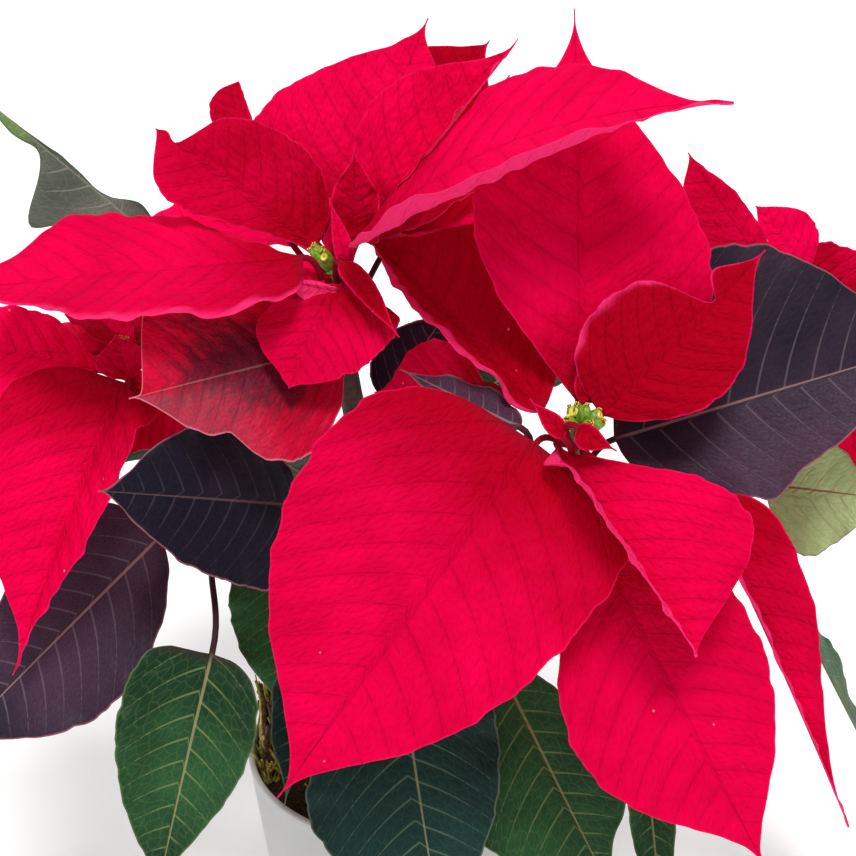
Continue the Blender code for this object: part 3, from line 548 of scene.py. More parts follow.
def skin_depths(along, across, width):
    """How far the upper and lower skins stand off the middle surface."""
    u = np.clip(along, 0, 1)[:, None]
    x = np.abs(across[None]) * width
    round_part = np.sqrt(np.clip(1 - across**2, 0, 1))[None]
    stalk = BLADE_HALF_THICK + (STALK_RADIUS - BLADE_HALF_THICK) * round_part
    stalky = (1 - smooth(along, 0.0, 0.07))[:, None]
    rim = 0.35 + 0.65 * smooth(1 - np.abs(across), 0.0, 0.06)[None]
    rib = RIB_DEPTH * (1 - u) ** 0.8 * np.exp(-((x / RIB_WIDTH) ** 2))
    upper = stalky * stalk + (1 - stalky) * BLADE_HALF_THICK * rim
    lower = stalky * stalk + (1 - stalky) * (BLADE_HALF_THICK * rim + rib)
    return upper, lower


def grid_quads(rows, columns):
    """Faces of a closed skin: an upper grid, the same grid below it, and the edge between."""
    at = np.arange(rows * columns).reshape(rows, columns)
    below = at + rows * columns
    a, b, c, d = at[:-1, :-1], at[:-1, 1:], at[1:, 1:], at[1:, :-1]
    quads = [np.stack([a, b, c, d], -1).reshape(-1, 4)]
    quads.append(np.stack([a, d, c, b], -1).reshape(-1, 4) + rows * columns)
    ring = np.concatenate([at[0], at[1:, -1], at[-1, -2::-1], at[-2:0:-1, 0]])
    after = np.roll(ring, -1)
    shift = below[0, 0]
    quads.append(np.stack([after, ring, ring + shift, after + shift], -1))
    return np.concatenate(quads)


class Part:
    """Points, quads and the shading attributes of one shape."""

    def __init__(self, points, faces, blade=None, veins=None, tone=None):
        none = np.zeros((len(points), 3))
        self.points = points
        self.faces = faces
        self.blade = none if blade is None else blade
        self.veins = none if veins is None else veins
        self.tone = none if tone is None else tone


def even_and_eased(count):
    """Stations from 0 to 1, closer together near both ends."""
    t = np.linspace(0, 1, count)
    return 0.5 * t + 0.5 * (0.5 - 0.5 * np.cos(math.pi * t))


def upper_tone(lip, along, across):
    """1 where the upper skin has its own colour, less in scallops along an edge painted in the underside colour."""
    tone = np.ones((len(along), len(across)))
    if lip:
        half, begins = lip
        out = across if half else -across
        wander = begins + LIP_WANDER * np.abs(np.sin(np.clip(along, 0, 1) * LIP_TURNS))
        tone -= LIP_PALE * smooth(out[None], wander[:, None], wander[:, None] + LIP_EASE)
    return tone


def blade_part(blade, root, start, place):
    """A blade with its stalk as a thin closed skin. Its place is its head's name, or leaf."""
    rng = np.random.default_rng(sum(ord(c) * (i + 3) for i, c in enumerate(blade.name)))
    length = np.linalg.norm(blade.tip - blade.joint)
    rows, columns = MIDDLE_GRID
    if length > LARGE_BLADE:
        rows, columns = LARGE_GRID
    if length < SMALL_BLADE:
        rows, columns = SMALL_GRID
    across = np.linspace(-1, 1, columns)
    across = 0.6 * across + 0.4 * np.sin(across * math.pi / 2)
    stations = even_and_eased(rows)
    sheet, normal, along, width = middle_surface(blade, root, start, stations, across, STALK_ROWS, rng)
    upper, lower = skin_depths(along, across, width)
    top = sheet + normal * upper[..., None]
    bottom = sheet - normal * lower[..., None]
    points = np.concatenate([top.reshape(-1, 3), bottom.reshape(-1, 3)])
    x, veins, spacing = vein_places(blade, along, across, width)
    grid = np.ones_like(x)
    edge = (1 - np.abs(across[None])) * width
    where = np.stack([along[:, None] * grid, across[None] * grid, edge], -1).reshape(-1, 3)
    vein = np.stack([veins * grid, x * np.sign(across)[None], width], -1).reshape(-1, 3)
    tone = np.zeros_like(where)
    tone[:, 1] = SHADES.get((place, blade.name), rng.uniform())
    tone[:, 2] = spacing
    over = tone.copy()
    over[:, 0] = upper_tone(LIPS.get((place, blade.name)), along, across).ravel()
    return Part(points, grid_quads(*sheet.shape[:2]), np.concatenate([where, where]),
                np.concatenate([vein, vein]), np.concatenate([over, tone]))


def ring(centre, axis, radius, sides, bumps=None):
    """A ring of points round a centre, square to an axis."""
    axis = unit(np.array(axis, float))
    across = unit(np.cross(axis, SLANT))
    other = np.cross(axis, across)
    angles = np.arange(sides) * 2 * math.pi / sides
    radius = radius * np.ones(sides) if bumps is None else radius * (1 + bumps(angles))
    return centre + radius[:, None] * (np.cos(angles)[:, None] * across + np.sin(angles)[:, None] * other)


def rings_part(rings, **shading):
    """A closed solid through rings of points, each end drawn together at its middle."""
    sides, count = len(rings[0]), len(rings)
    points = np.concatenate(rings + [rings[0].mean(0)[None], rings[-1].mean(0)[None]])
    at = np.arange(count * sides).reshape(count, sides)
    after = np.roll(at, -1, axis=1)
    faces = np.stack([at[:-1], after[:-1], after[1:], at[1:]], -1).reshape(-1, 4).tolist()
    faces += [(int(b), int(a), count * sides) for a, b in zip(at[0], after[0])]
    faces += [(int(a), int(b), count * sides + 1) for a, b in zip(at[-1], after[-1])]
    return Part(points, faces, **shading)


def lathe_part(profile, sides, base=(0, 0, 0), axis=(0, 0, 1), bumps=None):
    """A solid turned from (radius, height) pairs about an axis."""
    base, axis = np.array(base, float), unit(np.array(axis, float))
    return rings_part([ring(base + axis * height, axis, radius, sides, bumps) for radius, height in profile])


def add_piece(name, parts, materials, node=None, kinds=None):
    """One mesh made from several parts, on the root body, in the node's place."""
    points, faces, kept, offset = [], [], [], 0
    for i, part in enumerate(parts):
        points.append(part.points)
        for face in (part.faces.tolist() if isinstance(part.faces, np.ndarray) else part.faces):
            faces.append([v + offset for v in face])
            kept.append(kinds[i] if kinds else 0)
        offset += len(part.points)
    data = bpy.data.meshes.new(name)
    data.from_pydata((np.concatenate(points) * MM).tolist(), [], faces)
    for key in ("blade", "veins", "tone"):
        values = np.concatenate([getattr(part, key) for part in parts]).astype(np.float32)
        made = data.attributes.new(key, "FLOAT_VECTOR", "POINT")
        made.data.foreach_set("vector", values.ravel())
    for material in materials:
        data.materials.append(material)
    data.polygons.foreach_set("material_index", kept)
    data.shade_smooth()
    data.set_sharp_from_angle(angle=math.radians(60))
    piece = bpy.data.objects.new(name, data)
    bpy.context.scene.collection.objects.link(piece)
    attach(piece, "root")
    if node:
        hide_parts(node)
    return piece


# Shader helpers


class Shader:
    """A material's node tree, with short ways to add nodes."""

    def __init__(self, name):
        self.material = bpy.data.materials.new(name)
        self.material.use_nodes = True
        self.tree = self.material.node_tree
        self.principled = self.tree.nodes["Principled BSDF"]
        self.output = self.tree.nodes["Material Output"]

    def add(self, kind, **settings):
        node = self.tree.nodes.new(kind)
        for key, value in settings.items():
            setattr(node, key, value)
        return node

    def feed(self, socket, value):
        if isinstance(value, bpy.types.NodeSocket):
            self.tree.links.new(value, socket)
        else:
            socket.default_value = value

    def math(self, operation, *values, clamp=False):
        node = self.add("ShaderNodeMath", operation=operation, use_clamp=clamp)
        for socket, value in zip(node.inputs, values):
            self.feed(socket, value)
        return node.outputs[0]

    def ramp(self, value, low, high, to_low=0.0, to_high=1.0):
        node = self.add("ShaderNodeMapRange", interpolation_type="SMOOTHSTEP")
        for socket, given in zip(node.inputs, (value, low, high, to_low, to_high)):
            self.feed(socket, given)
        return node.outputs[0]

    def mix(self, share, first, second, blend="MIX"):
        node = self.add("ShaderNodeMix", data_type="RGBA", blend_type=blend)
        self.feed(node.inputs[0], share)
        for socket, value in ((node.inputs[6], first), (node.inputs[7], second)):
            if isinstance(value, tuple):
                value = (*value, 1.0)
            self.feed(socket, value)
        return node.outputs[2]

    def attribute(self, name):
        """The three numbers of a vector attribute."""
        source = self.add("ShaderNodeAttribute", attribute_name=name)
        split = self.add("ShaderNodeSeparateXYZ")
        self.feed(split.inputs[0], source.outputs["Vector"])
        return split.outputs

    def join(self, x, y, z):
        node = self.add("ShaderNodeCombineXYZ")
        for socket, value in zip(node.inputs, (x, y, z)):
            self.feed(socket, value)
        return node.outputs[0]

    def object_place(self):
        return self.add("ShaderNodeTexCoord").outputs["Object"]

    def noise(self, vector, scale, detail=3.0, roughness=0.55, distortion=0.0, sheet="3D"):
        node = self.add("ShaderNodeTexNoise", noise_dimensions=sheet)
        for key, value in (("Vector", vector), ("Scale", scale), ("Detail", detail),
                           ("Roughness", roughness), ("Distortion", distortion)):
            self.feed(node.inputs[key], value)
        return node.outputs[0]

    def cells(self, vector, scale, feature="DISTANCE_TO_EDGE", randomness=1.0, sheet="2D"):
        node = self.add("ShaderNodeTexVoronoi", feature=feature, voronoi_dimensions=sheet)
        for key, value in (("Vector", vector), ("Scale", scale), ("Randomness", randomness)):
            self.feed(node.inputs[key], value)
        return node.outputs["Distance"]

    def bump(self, height, distance, strength=1.0):
        node = self.add("ShaderNodeBump")
        for key, value in (("Height", height), ("Distance", distance), ("Strength", strength)):
            self.feed(node.inputs[key], value)
        self.feed(self.principled.inputs["Normal"], node.outputs[0])

    def finish(self, colour, roughness, specular=0.5):
        self.feed(self.principled.inputs["Base Color"], colour)
        self.feed(self.principled.inputs["Roughness"], roughness)
        self.principled.inputs["Specular IOR Level"].default_value = specular
        return self.material


# Blade colours: deep and fresh are the two shades that the upper face drifts between
# The groove number is how strongly painted shade darkens a blade towards its vein colour in the grooves along the
# side veins
PALETTES = {
    "red": dict(deep=(0.44, 0.0, 0.014), fresh=(0.95, 0.0, 0.084), under=(0.98, 0.036, 0.20),
                vein=(0.40, 0.0, 0.012), rib=(0.42, 0.0, 0.012), edge=(0.84, 0.008, 0.10),
                stalk=(0.30, 0.006, 0.02), veins=0.05, net=0.03, ribs=0.19, groove_shade=0.12, rough=0.62,
                shine=0.02, glow=0.20, relief=0.00045, mottle=0.5, spread=0.9, drift=30.0),
    "dark": dict(deep=(0.007, 0.007, 0.015), fresh=(0.072, 0.030, 0.060), under=(0.11, 0.12, 0.075),
                 vein=(0.19, 0.145, 0.155), rib=(0.32, 0.19, 0.18), edge=(0.34, 0.11, 0.14),
                 stalk=(0.06, 0.010, 0.018), veins=0.42, net=0.02, ribs=0.70, groove_shade=0.0, rough=0.5,
                 shine=0.12, glow=0.05, relief=0.00010, mottle=0.9, spread=0.6, drift=16.0),
    "grey": dict(deep=(0.050, 0.062, 0.044), fresh=(0.17, 0.175, 0.14), under=(0.14, 0.30, 0.06),
                 vein=(0.34, 0.34, 0.28), rib=(0.36, 0.33, 0.27), edge=(0.05, 0.10, 0.04),
                 stalk=(0.06, 0.010, 0.018), veins=0.45, net=0.08, ribs=0.4, groove_shade=0.0, rough=0.55,
                 shine=0.1, glow=0.08, relief=0.00018, mottle=1.3, spread=0.3, drift=20.0),
    "green": dict(deep=(0.003, 0.026, 0.008), fresh=(0.026, 0.104, 0.030), under=(0.12, 0.20, 0.07),
                  vein=(0.20, 0.27, 0.09), rib=(0.36, 0.30, 0.15), edge=(0.11, 0.17, 0.06),
                  stalk=(0.03, 0.008, 0.012), veins=0.55, net=0.10, ribs=0.60, groove_shade=0.0, rough=0.48,
                  shine=0.15, glow=0.08, relief=0.00016, mottle=1.2, spread=0.6, drift=22.0),
    "teal": dict(deep=(0.001, 0.012, 0.010), fresh=(0.008, 0.040, 0.032), under=(0.10, 0.16, 0.08),
                 vein=(0.12, 0.19, 0.11), rib=(0.24, 0.24, 0.14), edge=(0.10, 0.13, 0.09),
                 stalk=(0.03, 0.008, 0.012), veins=0.5, net=0.06, ribs=0.7, groove_shade=0.0, rough=0.48,
                 shine=0.15, glow=0.05, relief=0.00016, mottle=1.2, spread=0.3, drift=22.0),
    "olive": dict(deep=(0.28, 0.36, 0.14), fresh=(0.50, 0.64, 0.30), under=(0.46, 0.55, 0.25),
                  vein=(0.36, 0.30, 0.15), rib=(0.30, 0.03, 0.04), edge=(0.18, 0.22, 0.10),
                  stalk=(0.28, 0.03, 0.04), veins=0.5, net=0.2, ribs=0.85, groove_shade=0.0, rough=0.5,
                  shine=0.1, glow=0.15, relief=0.0003, mottle=1.2, spread=0.3, drift=26.0),
    "two": dict(deep=(0.44, 0.0, 0.016), fresh=(0.72, 0.003, 0.050), under=(0.60, 0.05, 0.10),
                vein=(0.10, 0.01, 0.025), rib=(0.52, 0.32, 0.26), edge=(0.70, 0.24, 0.32),
                stalk=(0.2, 0.01, 0.02), veins=0.25, net=0.0, ribs=0.28, groove_shade=0.15, rough=0.5,
                shine=0.06, glow=0.12, relief=0.00020, mottle=1.3, spread=0.3, drift=24.0),
}


def streaked(s, colour, run, x, along, across):
    """The two-tone leaf: speckled dark clouds along its veins and a greyish side near its tip."""
    streaks = s.noise(s.join(s.math("MULTIPLY", run, 0.30), s.math("MULTIPLY", x, 0.15), 0.0), 1.0, 6.0, 0.75, sheet="2D")
    clouds = s.noise(s.join(run, x, 0.0), 0.055, 3.0, sheet="2D")
    specks = s.noise(s.join(run, x, 0.0), 1.1, 4.0, 0.8, sheet="2D")
    middle = s.math("SUBTRACT", 1.0, s.ramp(s.math("ABSOLUTE", s.math("ADD", across, -0.05)), 0.0, 0.9))
    centre = s.math("SUBTRACT", 1.0, s.ramp(s.math("ABSOLUTE", s.math("SUBTRACT", along, 0.42)), 0.05, 0.55))
    low = s.ramp(s.math("MULTIPLY", across, -1.0), -0.05, 0.35)
    far = s.math("MULTIPLY", low, s.ramp(along, 0.35, 0.70))
    dark = s.math("ADD", s.math("MULTIPLY", streaks, 0.75), s.math("MULTIPLY", s.math("MULTIPLY", middle, centre), 0.42))
    dark = s.math("ADD", dark, s.math("MULTIPLY", clouds, 0.44))
    dark = s.math("ADD", dark, s.math("MULTIPLY", s.math("SUBTRACT", specks, 0.5), 0.55))
    pale = s.math("MULTIPLY", far, s.ramp(specks, 0.38, 0.62, 0.30, 1.0))
    colour = s.mix(s.math("MULTIPLY", pale, 0.75), colour, (0.22, 0.085, 0.125))
    shade = s.mix(far, (0.030, 0.012, 0.028), (0.085, 0.050, 0.070))
    return s.mix(s.ramp(dark, 0.55, 0.94, 0.0, 0.90), colour, shade)


def blade_material(kind):
    """Leaf or bract skin: drifting colour, side veins, a fine net between them, midrib and edge."""
    p = PALETTES[kind]
    s = Shader("blade_" + kind)
    along, across, edge = s.attribute("blade")
    veins, x, width = s.attribute("veins")
    skin, own, spacing = s.attribute("tone")
    place = s.object_place()
    drift = s.noise(place, p["drift"], 4.0, 0.6)
    drift = s.math("ADD", s.math("MULTIPLY", s.math("SUBTRACT", drift, 0.5), p["mottle"]), 0.65)
    drift = s.math("ADD", drift, s.math("MULTIPLY", s.math("SUBTRACT", own, 0.5), p["spread"]))
    if kind == "dark":
        drift = s.math("ADD", drift, s.math("MULTIPLY", across, 0.14))
    # Painted shade: red blades are darkened towards the stalk, where the middle of the head shades them
    if kind == "red":
        drift = s.math("ADD", drift, s.ramp(along, 0.0, 0.38, -0.32, 0.0))
    colour = s.mix(s.ramp(drift, 0.35, 0.95), p["deep"], p["fresh"])
    from_mid = s.math("ABSOLUTE", x)
    phase = s.math("ABSOLUTE", s.math("SUBTRACT", s.math("FRACT", s.math("ADD", veins, 0.5)), 0.5))
    away = s.math("MULTIPLY", phase, spacing)
    span = s.math("ABSOLUTE", across)
    thick = s.ramp(span, 0.0, 1.0, 0.42, 0.13)
    side_vein = s.math("SUBTRACT", 1.0, s.ramp(s.math("DIVIDE", away, thick), 0.4, 1.5))
    run = s.math("MULTIPLY", veins, spacing)
    flat = s.join(s.math("ADD", run, s.math("MULTIPLY", own, 500.0)), x, 0.0)
    dots = s.ramp(s.noise(flat, 0.9, 2.0, sheet="2D"), 0.38, 0.60)
    side_vein = s.math("MULTIPLY", side_vein, s.math("MAXIMUM", dots, s.ramp(span, 0.15, 0.75, 1.0, 0.15)))
    # Painted shade: a patchy darkening in the grooves along the side veins, standing in for the shade of the
    # quilted relief
    painted_groove_shade = s.math("SUBTRACT", 1.0, s.ramp(phase, 0.0, 0.30))
    painted_groove_shade = s.math("MULTIPLY", painted_groove_shade, s.ramp(s.noise(flat, 0.06, 2.0, sheet="2D"), 0.35, 0.65, 0.2, 1.0))
    edges = s.cells(flat, 0.27)
    net = s.math("SUBTRACT", 1.0, s.ramp(edges, 0.02, 0.10))
    fine = s.noise(flat, 1.1, 2.0, sheet="2D")
    rib = s.math("SUBTRACT", 1.0, s.ramp(s.math("DIVIDE", from_mid, s.ramp(along, 0.0, 1.0, 0.65, 0.22)), 0.6, 1.1))
    # Painted shade in the vein grooves, mixed towards the vein colour
    colour = s.mix(s.math("MULTIPLY", painted_groove_shade, p["groove_shade"]), colour, p["vein"])
    if kind == "two":
        colour = streaked(s, colour, run, x, along, across)
    if kind == "grey":
        colour = s.mix(s.ramp(along, 0.70, 0.76), colour, (0.16, 0.26, 0.07))
    if kind != "red":
        colour = s.mix(s.math("MULTIPLY", s.ramp(fine, 0.35, 0.65), 0.35), colour, p["deep"])
    faint = s.ramp(own, 0.0, 0.6, 0.35, 1.0) if kind == "dark" else 1.0
    colour = s.mix(s.math("MULTIPLY", net, p["net"]), colour, p["vein"])
    colour = s.mix(s.math("MULTIPLY", s.math("MULTIPLY", side_vein, p["veins"]), faint), colour, p["vein"])
    colour = s.mix(s.math("MULTIPLY", s.math("MULTIPLY", rib, p["ribs"]), faint), colour, p["rib"])
    rim = s.math("SUBTRACT", 1.0, s.ramp(edge, 0.25, 0.9))
    colour = s.mix(s.math("MULTIPLY", rim, 0.7), colour, p["edge"])
    under = s.mix(s.math("MULTIPLY", side_vein, 0.4), p["under"], p["vein"])
    under = s.mix(s.math("MULTIPLY", rib, 0.6), under, p["rib"])
    colour = s.mix(skin, under, colour)
    if kind == "red":
        specks = s.math("SUBTRACT", 1.0, s.ramp(s.cells(place, 60.0, "F1", sheet="3D"), 0.018, 0.036))
        colour = s.mix(s.math("MULTIPLY", specks, 0.75), colour, (0.90, 0.35, 0.40))
    stalky = s.math("SUBTRACT", 1.0, s.ramp(along, -0.02, 0.05))
    colour = s.mix(stalky, colour, p["stalk"])
    height = s.math("ADD", s.math("MULTIPLY", s.ramp(edges, 0.0, 0.35), 0.6), s.math("MULTIPLY", fine, 0.5))
    height = s.math("SUBTRACT", height, s.math("MULTIPLY", side_vein, 0.5))
    across_veins = s.join(s.math("MULTIPLY", run, 0.10), s.math("MULTIPLY", x, 0.38), 0.0)
    height = s.math("ADD", height, s.math("MULTIPLY", s.noise(across_veins, 1.0, 2.0, 0.5, sheet="2D"), 1.6))
    s.bump(height, p["relief"], 1.0)
    rough = s.ramp(fine, 0.2, 0.8, p["rough"] - 0.06, p["rough"] + 0.08)
    s.finish(colour, rough, p["shine"])
    through = s.add("ShaderNodeBsdfTranslucent")
    s.feed(through.inputs["Color"], colour)
    joined = s.add("ShaderNodeMixShader")
    s.feed(joined.inputs[0], p["glow"])
    s.feed(joined.inputs[1], s.principled.outputs[0])
    s.feed(joined.inputs[2], through.outputs[0])
    s.feed(s.output.inputs["Surface"], joined.outputs[0])
    return s.material


def stem_material():
    s = Shader("stem_skin")
    place = s.object_place()
    height = s.add("ShaderNodeSeparateXYZ")
    s.feed(height.inputs[0], place)
    grain = s.noise(place, 260.0, 5.0, 0.65)
    woody = s.mix(s.ramp(grain, 0.3, 0.7), (0.09, 0.055, 0.03), (0.19, 0.13, 0.075))
    fresh = s.mix(s.ramp(grain, 0.3, 0.7), (0.035, 0.012, 0.016), (0.07, 0.05, 0.025))
    colour = s.mix(s.ramp(height.outputs[2], 0.15, 0.22), woody, fresh)
    s.bump(grain, 0.0006, 0.8)
    return s.finish(colour, 0.6, 0.3)


def pot_material():
    s = Shader("pot_glaze")
    place = s.object_place()
    cloud = s.noise(place, 22.0, 4.0)
    speck = s.ramp(s.noise(place, 900.0, 2.0), 0.66, 0.74)
    colour = s.mix(s.ramp(cloud, 0.3, 0.7), (0.43, 0.433, 0.425), (0.48, 0.48, 0.47))
    colour = s.mix(s.math("MULTIPLY", speck, 0.25), colour, (0.42, 0.42, 0.40))
    s.bump(s.noise(place, 160.0, 3.0), 0.0002, 0.3)
    return s.finish(colour, s.ramp(cloud, 0.2, 0.8, 0.30, 0.42), 0.45)


def soil_material():
    s = Shader("potting_soil")
    place = s.object_place()
    crumb = s.cells(place, 420.0, "F1")
    grain = s.noise(place, 900.0, 4.0, 0.7)
    colour = s.mix(s.ramp(grain, 0.3, 0.75), (0.012, 0.008, 0.005), (0.075, 0.048, 0.026))
    s.bump(s.math("ADD", s.math("MULTIPLY", crumb, -1.0), s.math("MULTIPLY", grain, 0.6)), 0.0018, 1.0)
    return s.finish(colour, 0.95, 0.1)


def cyathia_material():
    s = Shader("cyathia_green")
    skin, own, tip = s.attribute("tone")
    place = s.object_place()
    grain = s.noise(place, 700.0, 3.0)
    colour = s.mix(s.ramp(grain, 0.3, 0.7), (0.09, 0.22, 0.015), (0.27, 0.42, 0.035))
    colour = s.mix(skin, colour, (0.42, 0.10, 0.02))
    s.bump(grain, 0.0003, 0.5)
    return s.finish(colour, 0.42, 0.4)


def plain_part_material(name, deep, fresh, scale, rough, shine):
    """A small grown thing's skin: two shades in a fine grain."""
    s = Shader(name)
    grain = s.noise(s.object_place(), scale, 4.0, 0.6)
    s.bump(grain, 0.0003, 0.5)
    return s.finish(s.mix(s.ramp(grain, 0.3, 0.7), deep, fresh), rough, shine)


# Pieces


def bract_start(centre, axis, blade):
    """A bract's stalk leaves its receptacle square to the axis, on the side of the blade."""
    if blade.start is not None:
        return unit(np.array(blade.start, float))
    away = blade.joint - centre
    return unit(away - (away @ axis) * axis)


def build_head(place, skins):
    """A head's receptacle with its bracts, and its cyathia."""
    centre = np.array(HEADS[place], float)
    axis = BRANCHES[place].direction(1.0)
    drum = (
        (RECEPTACLE_FOOT * 0.6, -RECEPTACLE_BELOW),
        (RECEPTACLE_FOOT, -RECEPTACLE_BELOW + 0.5),
        (RECEPTACLE_RADIUS * 0.9, -RECEPTACLE_FLARE),
        (RECEPTACLE_RADIUS, 0.0),
        (RECEPTACLE_RADIUS * 0.9, RECEPTACLE_ABOVE - 0.6),
        (RECEPTACLE_RADIUS * 0.6, RECEPTACLE_ABOVE),
    )
    parts = [lathe_part(drum, 24, centre, axis)]
    for blade in BRACTS[place]:
        root, start = centre - axis * BRACT_DROP, bract_start(centre, axis, blade)
        parts.append(blade_part(blade, root, start, place))
    kinds = [1] + [0] * len(BRACTS[place])
    add_piece("head_" + place, parts, [skins["red"], skins["stalk"]], "bracts_" + place, kinds)
    build_cyathia(place, centre + axis * (RECEPTACLE_ABOVE + GAP), axis, skins)


CUP_OUTLINE = ((0.5, -0.3), (0.9, 0.0), (1.45, 1.4), (1.85, 3.2), (1.9, 4.6), (1.6, 5.8), (1.15, 6.5),
               (1.0, 6.9), (0.8, 6.6), (0.3, 6.0))
LIP_OUTLINE = ((0.3, -0.8), (1.3, -0.5), (1.75, 0.1), (1.5, 0.75), (0.9, 0.5), (0.3, 0.15))


def cup_parts(foot, way, girth, height, number):
    """One green cup, its yellow lip and the red and yellow threads at its mouth."""
    rng = np.random.default_rng(number)
    turn = rng.uniform(0, 6.28)

    def ridges(angles):
        return 0.045 * np.cos(5 * angles + turn) - 0.03 * np.abs(np.cos(5 * angles + turn)) ** 4

    cup = lathe_part([(r * girth, h * height) for r, h in CUP_OUTLINE], 30, foot, way, ridges)
    across = unit(np.cross(way, SLANT))
    other = np.cross(way, across)
    out = math.cos(turn) * across + math.sin(turn) * other
    lip_at = foot + way * 5.4 * height + out * 1.45 * girth
    lip = lathe_part([(r * girth, h) for r, h in LIP_OUTLINE], 20, lip_at, unit(out + way * 0.8))
    threads, beads = [], []
    for i in range(7):
        angle = i * GOLDEN_ANGLE + turn
        away = math.cos(angle) * across + math.sin(angle) * other
        low = foot + way * 6.0 * height + away * 0.25
        high = low + way * rng.uniform(1.2, 2.0) + away * rng.uniform(0.2, 0.75)
        middle = (low + high) / 2 + away * 0.15
        spine = [low, middle, high]
        threads.append(rings_part([ring(c, high - low, 0.21, 8) for c in spine]))
        beads.append(lathe_part(((0.08, -0.24), (0.27, 0.0), (0.25, 0.16), (0.08, 0.32)), 10, high, high - low))
    return cup, lip, threads, beads


def build_cyathia(place, seat, axis, skins):
    """The small green cups at the middle of a head."""
    count, lean, spread, girth, tall = CUPS[place]
    lean = unit(np.array(lean, float))
    profile = ((SEAT_RADIUS * 0.9, 0.0), (SEAT_RADIUS, 0.3), (SEAT_RADIUS, SEAT_SHOULDER),
               (SEAT_RADIUS * 0.7, SEAT_HEIGHT))
    parts, kinds = [lathe_part(profile, 24, seat, axis)], [0]
    across = unit(np.cross(lean, SLANT))
    other = np.cross(lean, across)
    for i in range(count):
        angle = i * GOLDEN_ANGLE
        out = math.sqrt((i + CUP_START) / count)
        away = math.cos(angle) * across + math.sin(angle) * other
        foot = seat + axis * SEAT_SHOULDER + away * out * CUP_REACH * girth
        way = unit(lean + away * out * spread)
        height = tall * (1.0 + CUP_VARIATION * math.cos(i * CUP_TURN))
        cup, lip, threads, beads = cup_parts(foot, way, girth, height, i + 11)
        parts += [cup, lip] + threads + beads
        kinds += [0, 1] + [2] * len(threads) + [1] * len(beads)
    materials = [skins["cyathia"], skins["gland"], skins["thread"]]
    add_piece("cyathia_cups_" + place, parts, materials, "cyathia_" + place, kinds)


def build_leaf(leaf, skins):
    """A leaf whose stalk is seated on its stem."""
    place, t = leaf.stem
    branch = BRANCHES[place]
    centre, way = branch.at(t), branch.direction(t)
    away = leaf.joint - centre if leaf.start is None else np.array(leaf.start, float)
    start = unit(away - (away @ way) * way)
    root = centre + start * (branch.radius(t) + GAP * 0.5)
    node = "leaf_" + leaf.name
    add_piece("blade_" + leaf.name, [blade_part(leaf, root, start, "leaf")], [skins[leaf.kind]], node)


def branch_part(branch, steps, seed):
    """A stem with the swellings where leaves grew and a slightly uneven skin."""
    rng = np.random.default_rng(seed)
    turns = rng.uniform(0, 6.28, 3)
    rings = []
    for t in np.linspace(0, 1, steps):
        swell = 0.07 * max(0.0, math.cos(t * 44 + turns[0])) ** 6

        def bumps(angles, t=t, swell=swell):
            return swell + 0.02 * np.sin(3 * angles + 9 * t + turns[1]) + 0.012 * np.sin(7 * angles - 21 * t)

        rings.append(ring(branch.at(t), branch.direction(t), branch.radius(t), STEM_SIDES, bumps))
    return rings_part(rings)


def build_stem(skins):
    parts = [branch_part(FOOT, 30, 3)]
    for i, branch in enumerate(BRANCHES.values()):
        parts.append(branch_part(branch, STEM_STEPS, 20 + i))
    add_piece("woody_stem", parts, [skins["stem"]], "stem")


def build_pot(skins):
    """The tapered pot, its lip rounded over."""
    lean = (POT_RIM_RADIUS - POT_BASE_RADIUS) / POT_HEIGHT
    outer = [(POT_BASE_RADIUS + lean * h, h) for h in np.linspace(1.6, POT_HEIGHT - 1.4, 24)]
    lip_middle = POT_RIM_RADIUS - POT_WALL / 2
    arc = [math.radians(a) for a in range(0, 181, 15)]
    lip = [(lip_middle + math.cos(a) * POT_WALL / 2, POT_HEIGHT - 1.3 + 1.3 * math.sin(a)) for a in arc]
    inner = [(POT_RIM_RADIUS - POT_WALL - lean * d, POT_HEIGHT - 1.4 - d) for d in np.linspace(1, 22, 8)]
    inner_base = POT_BASE_RADIUS + lean * POT_FLOOR - POT_WALL
    foot = [(POT_BASE_RADIUS - 1.5, 0.0), (POT_BASE_RADIUS - 0.5, 0.4), (POT_BASE_RADIUS, 1.2)]
    profile = foot + outer + lip + inner + [(inner_base, POT_FLOOR)]
    add_piece("glazed_pot", [lathe_part(profile, POT_SIDES)], [skins["pot"]], "pot")


def soil_height(x, y):
    """The lumpy surface of the soil, highest round the stem."""
    lumps = np.sin(0.19 * x + 1.1) * np.cos(0.23 * y - 0.6) + 0.5 * np.sin(0.41 * x - 0.37 * y)
    crumbs = 0.35 * np.sin(1.3 * x + 0.8 * y) * np.sin(1.1 * y - 0.7 * x) + 0.2 * np.sin(2.9 * x) * np.cos(2.6 * y)
    return SOIL_TOP + SOIL_LUMP * lumps + crumbs


def sprig_part(foot, way, length, radius, rng):
    """A bent twig with its lower end in the soil."""
    lean = unit(np.array(way, float))
    bend = unit(rng.normal(size=3)) * length * SPRIG_BEND
    top = foot + lean * length
    knots = (foot - lean * 2.0, foot + lean * length * 0.35 + bend, foot + lean * length * 0.7 - bend * 0.6, top)
    spine = curve(knots, np.linspace(0, 1, SPRIG_STEPS))
    ways = np.gradient(spine, axis=0)
    thin = np.linspace(1.0, 0.6, SPRIG_STEPS)
    return rings_part([ring(c, w, radius * k * rng.uniform(0.85, 1.15), 8) for c, w, k in zip(spine, ways, thin)])


def sprig_parts(count, place, spread, length, radius, seed, up=1.0):
    """A tuft of twigs round a place on the soil."""
    rng = np.random.default_rng(seed)
    made = []
    for _ in range(count):
        x, y = np.array(place) + rng.uniform(-1, 1, 2) * np.array(spread)
        foot = np.array((x, y, float(soil_height(x, y))))
        way = (rng.uniform(-0.7, 0.7), rng.uniform(-0.7, 0.7), up)
        made.append(sprig_part(foot, way, rng.uniform(*length), rng.uniform(*radius), rng))
    return made


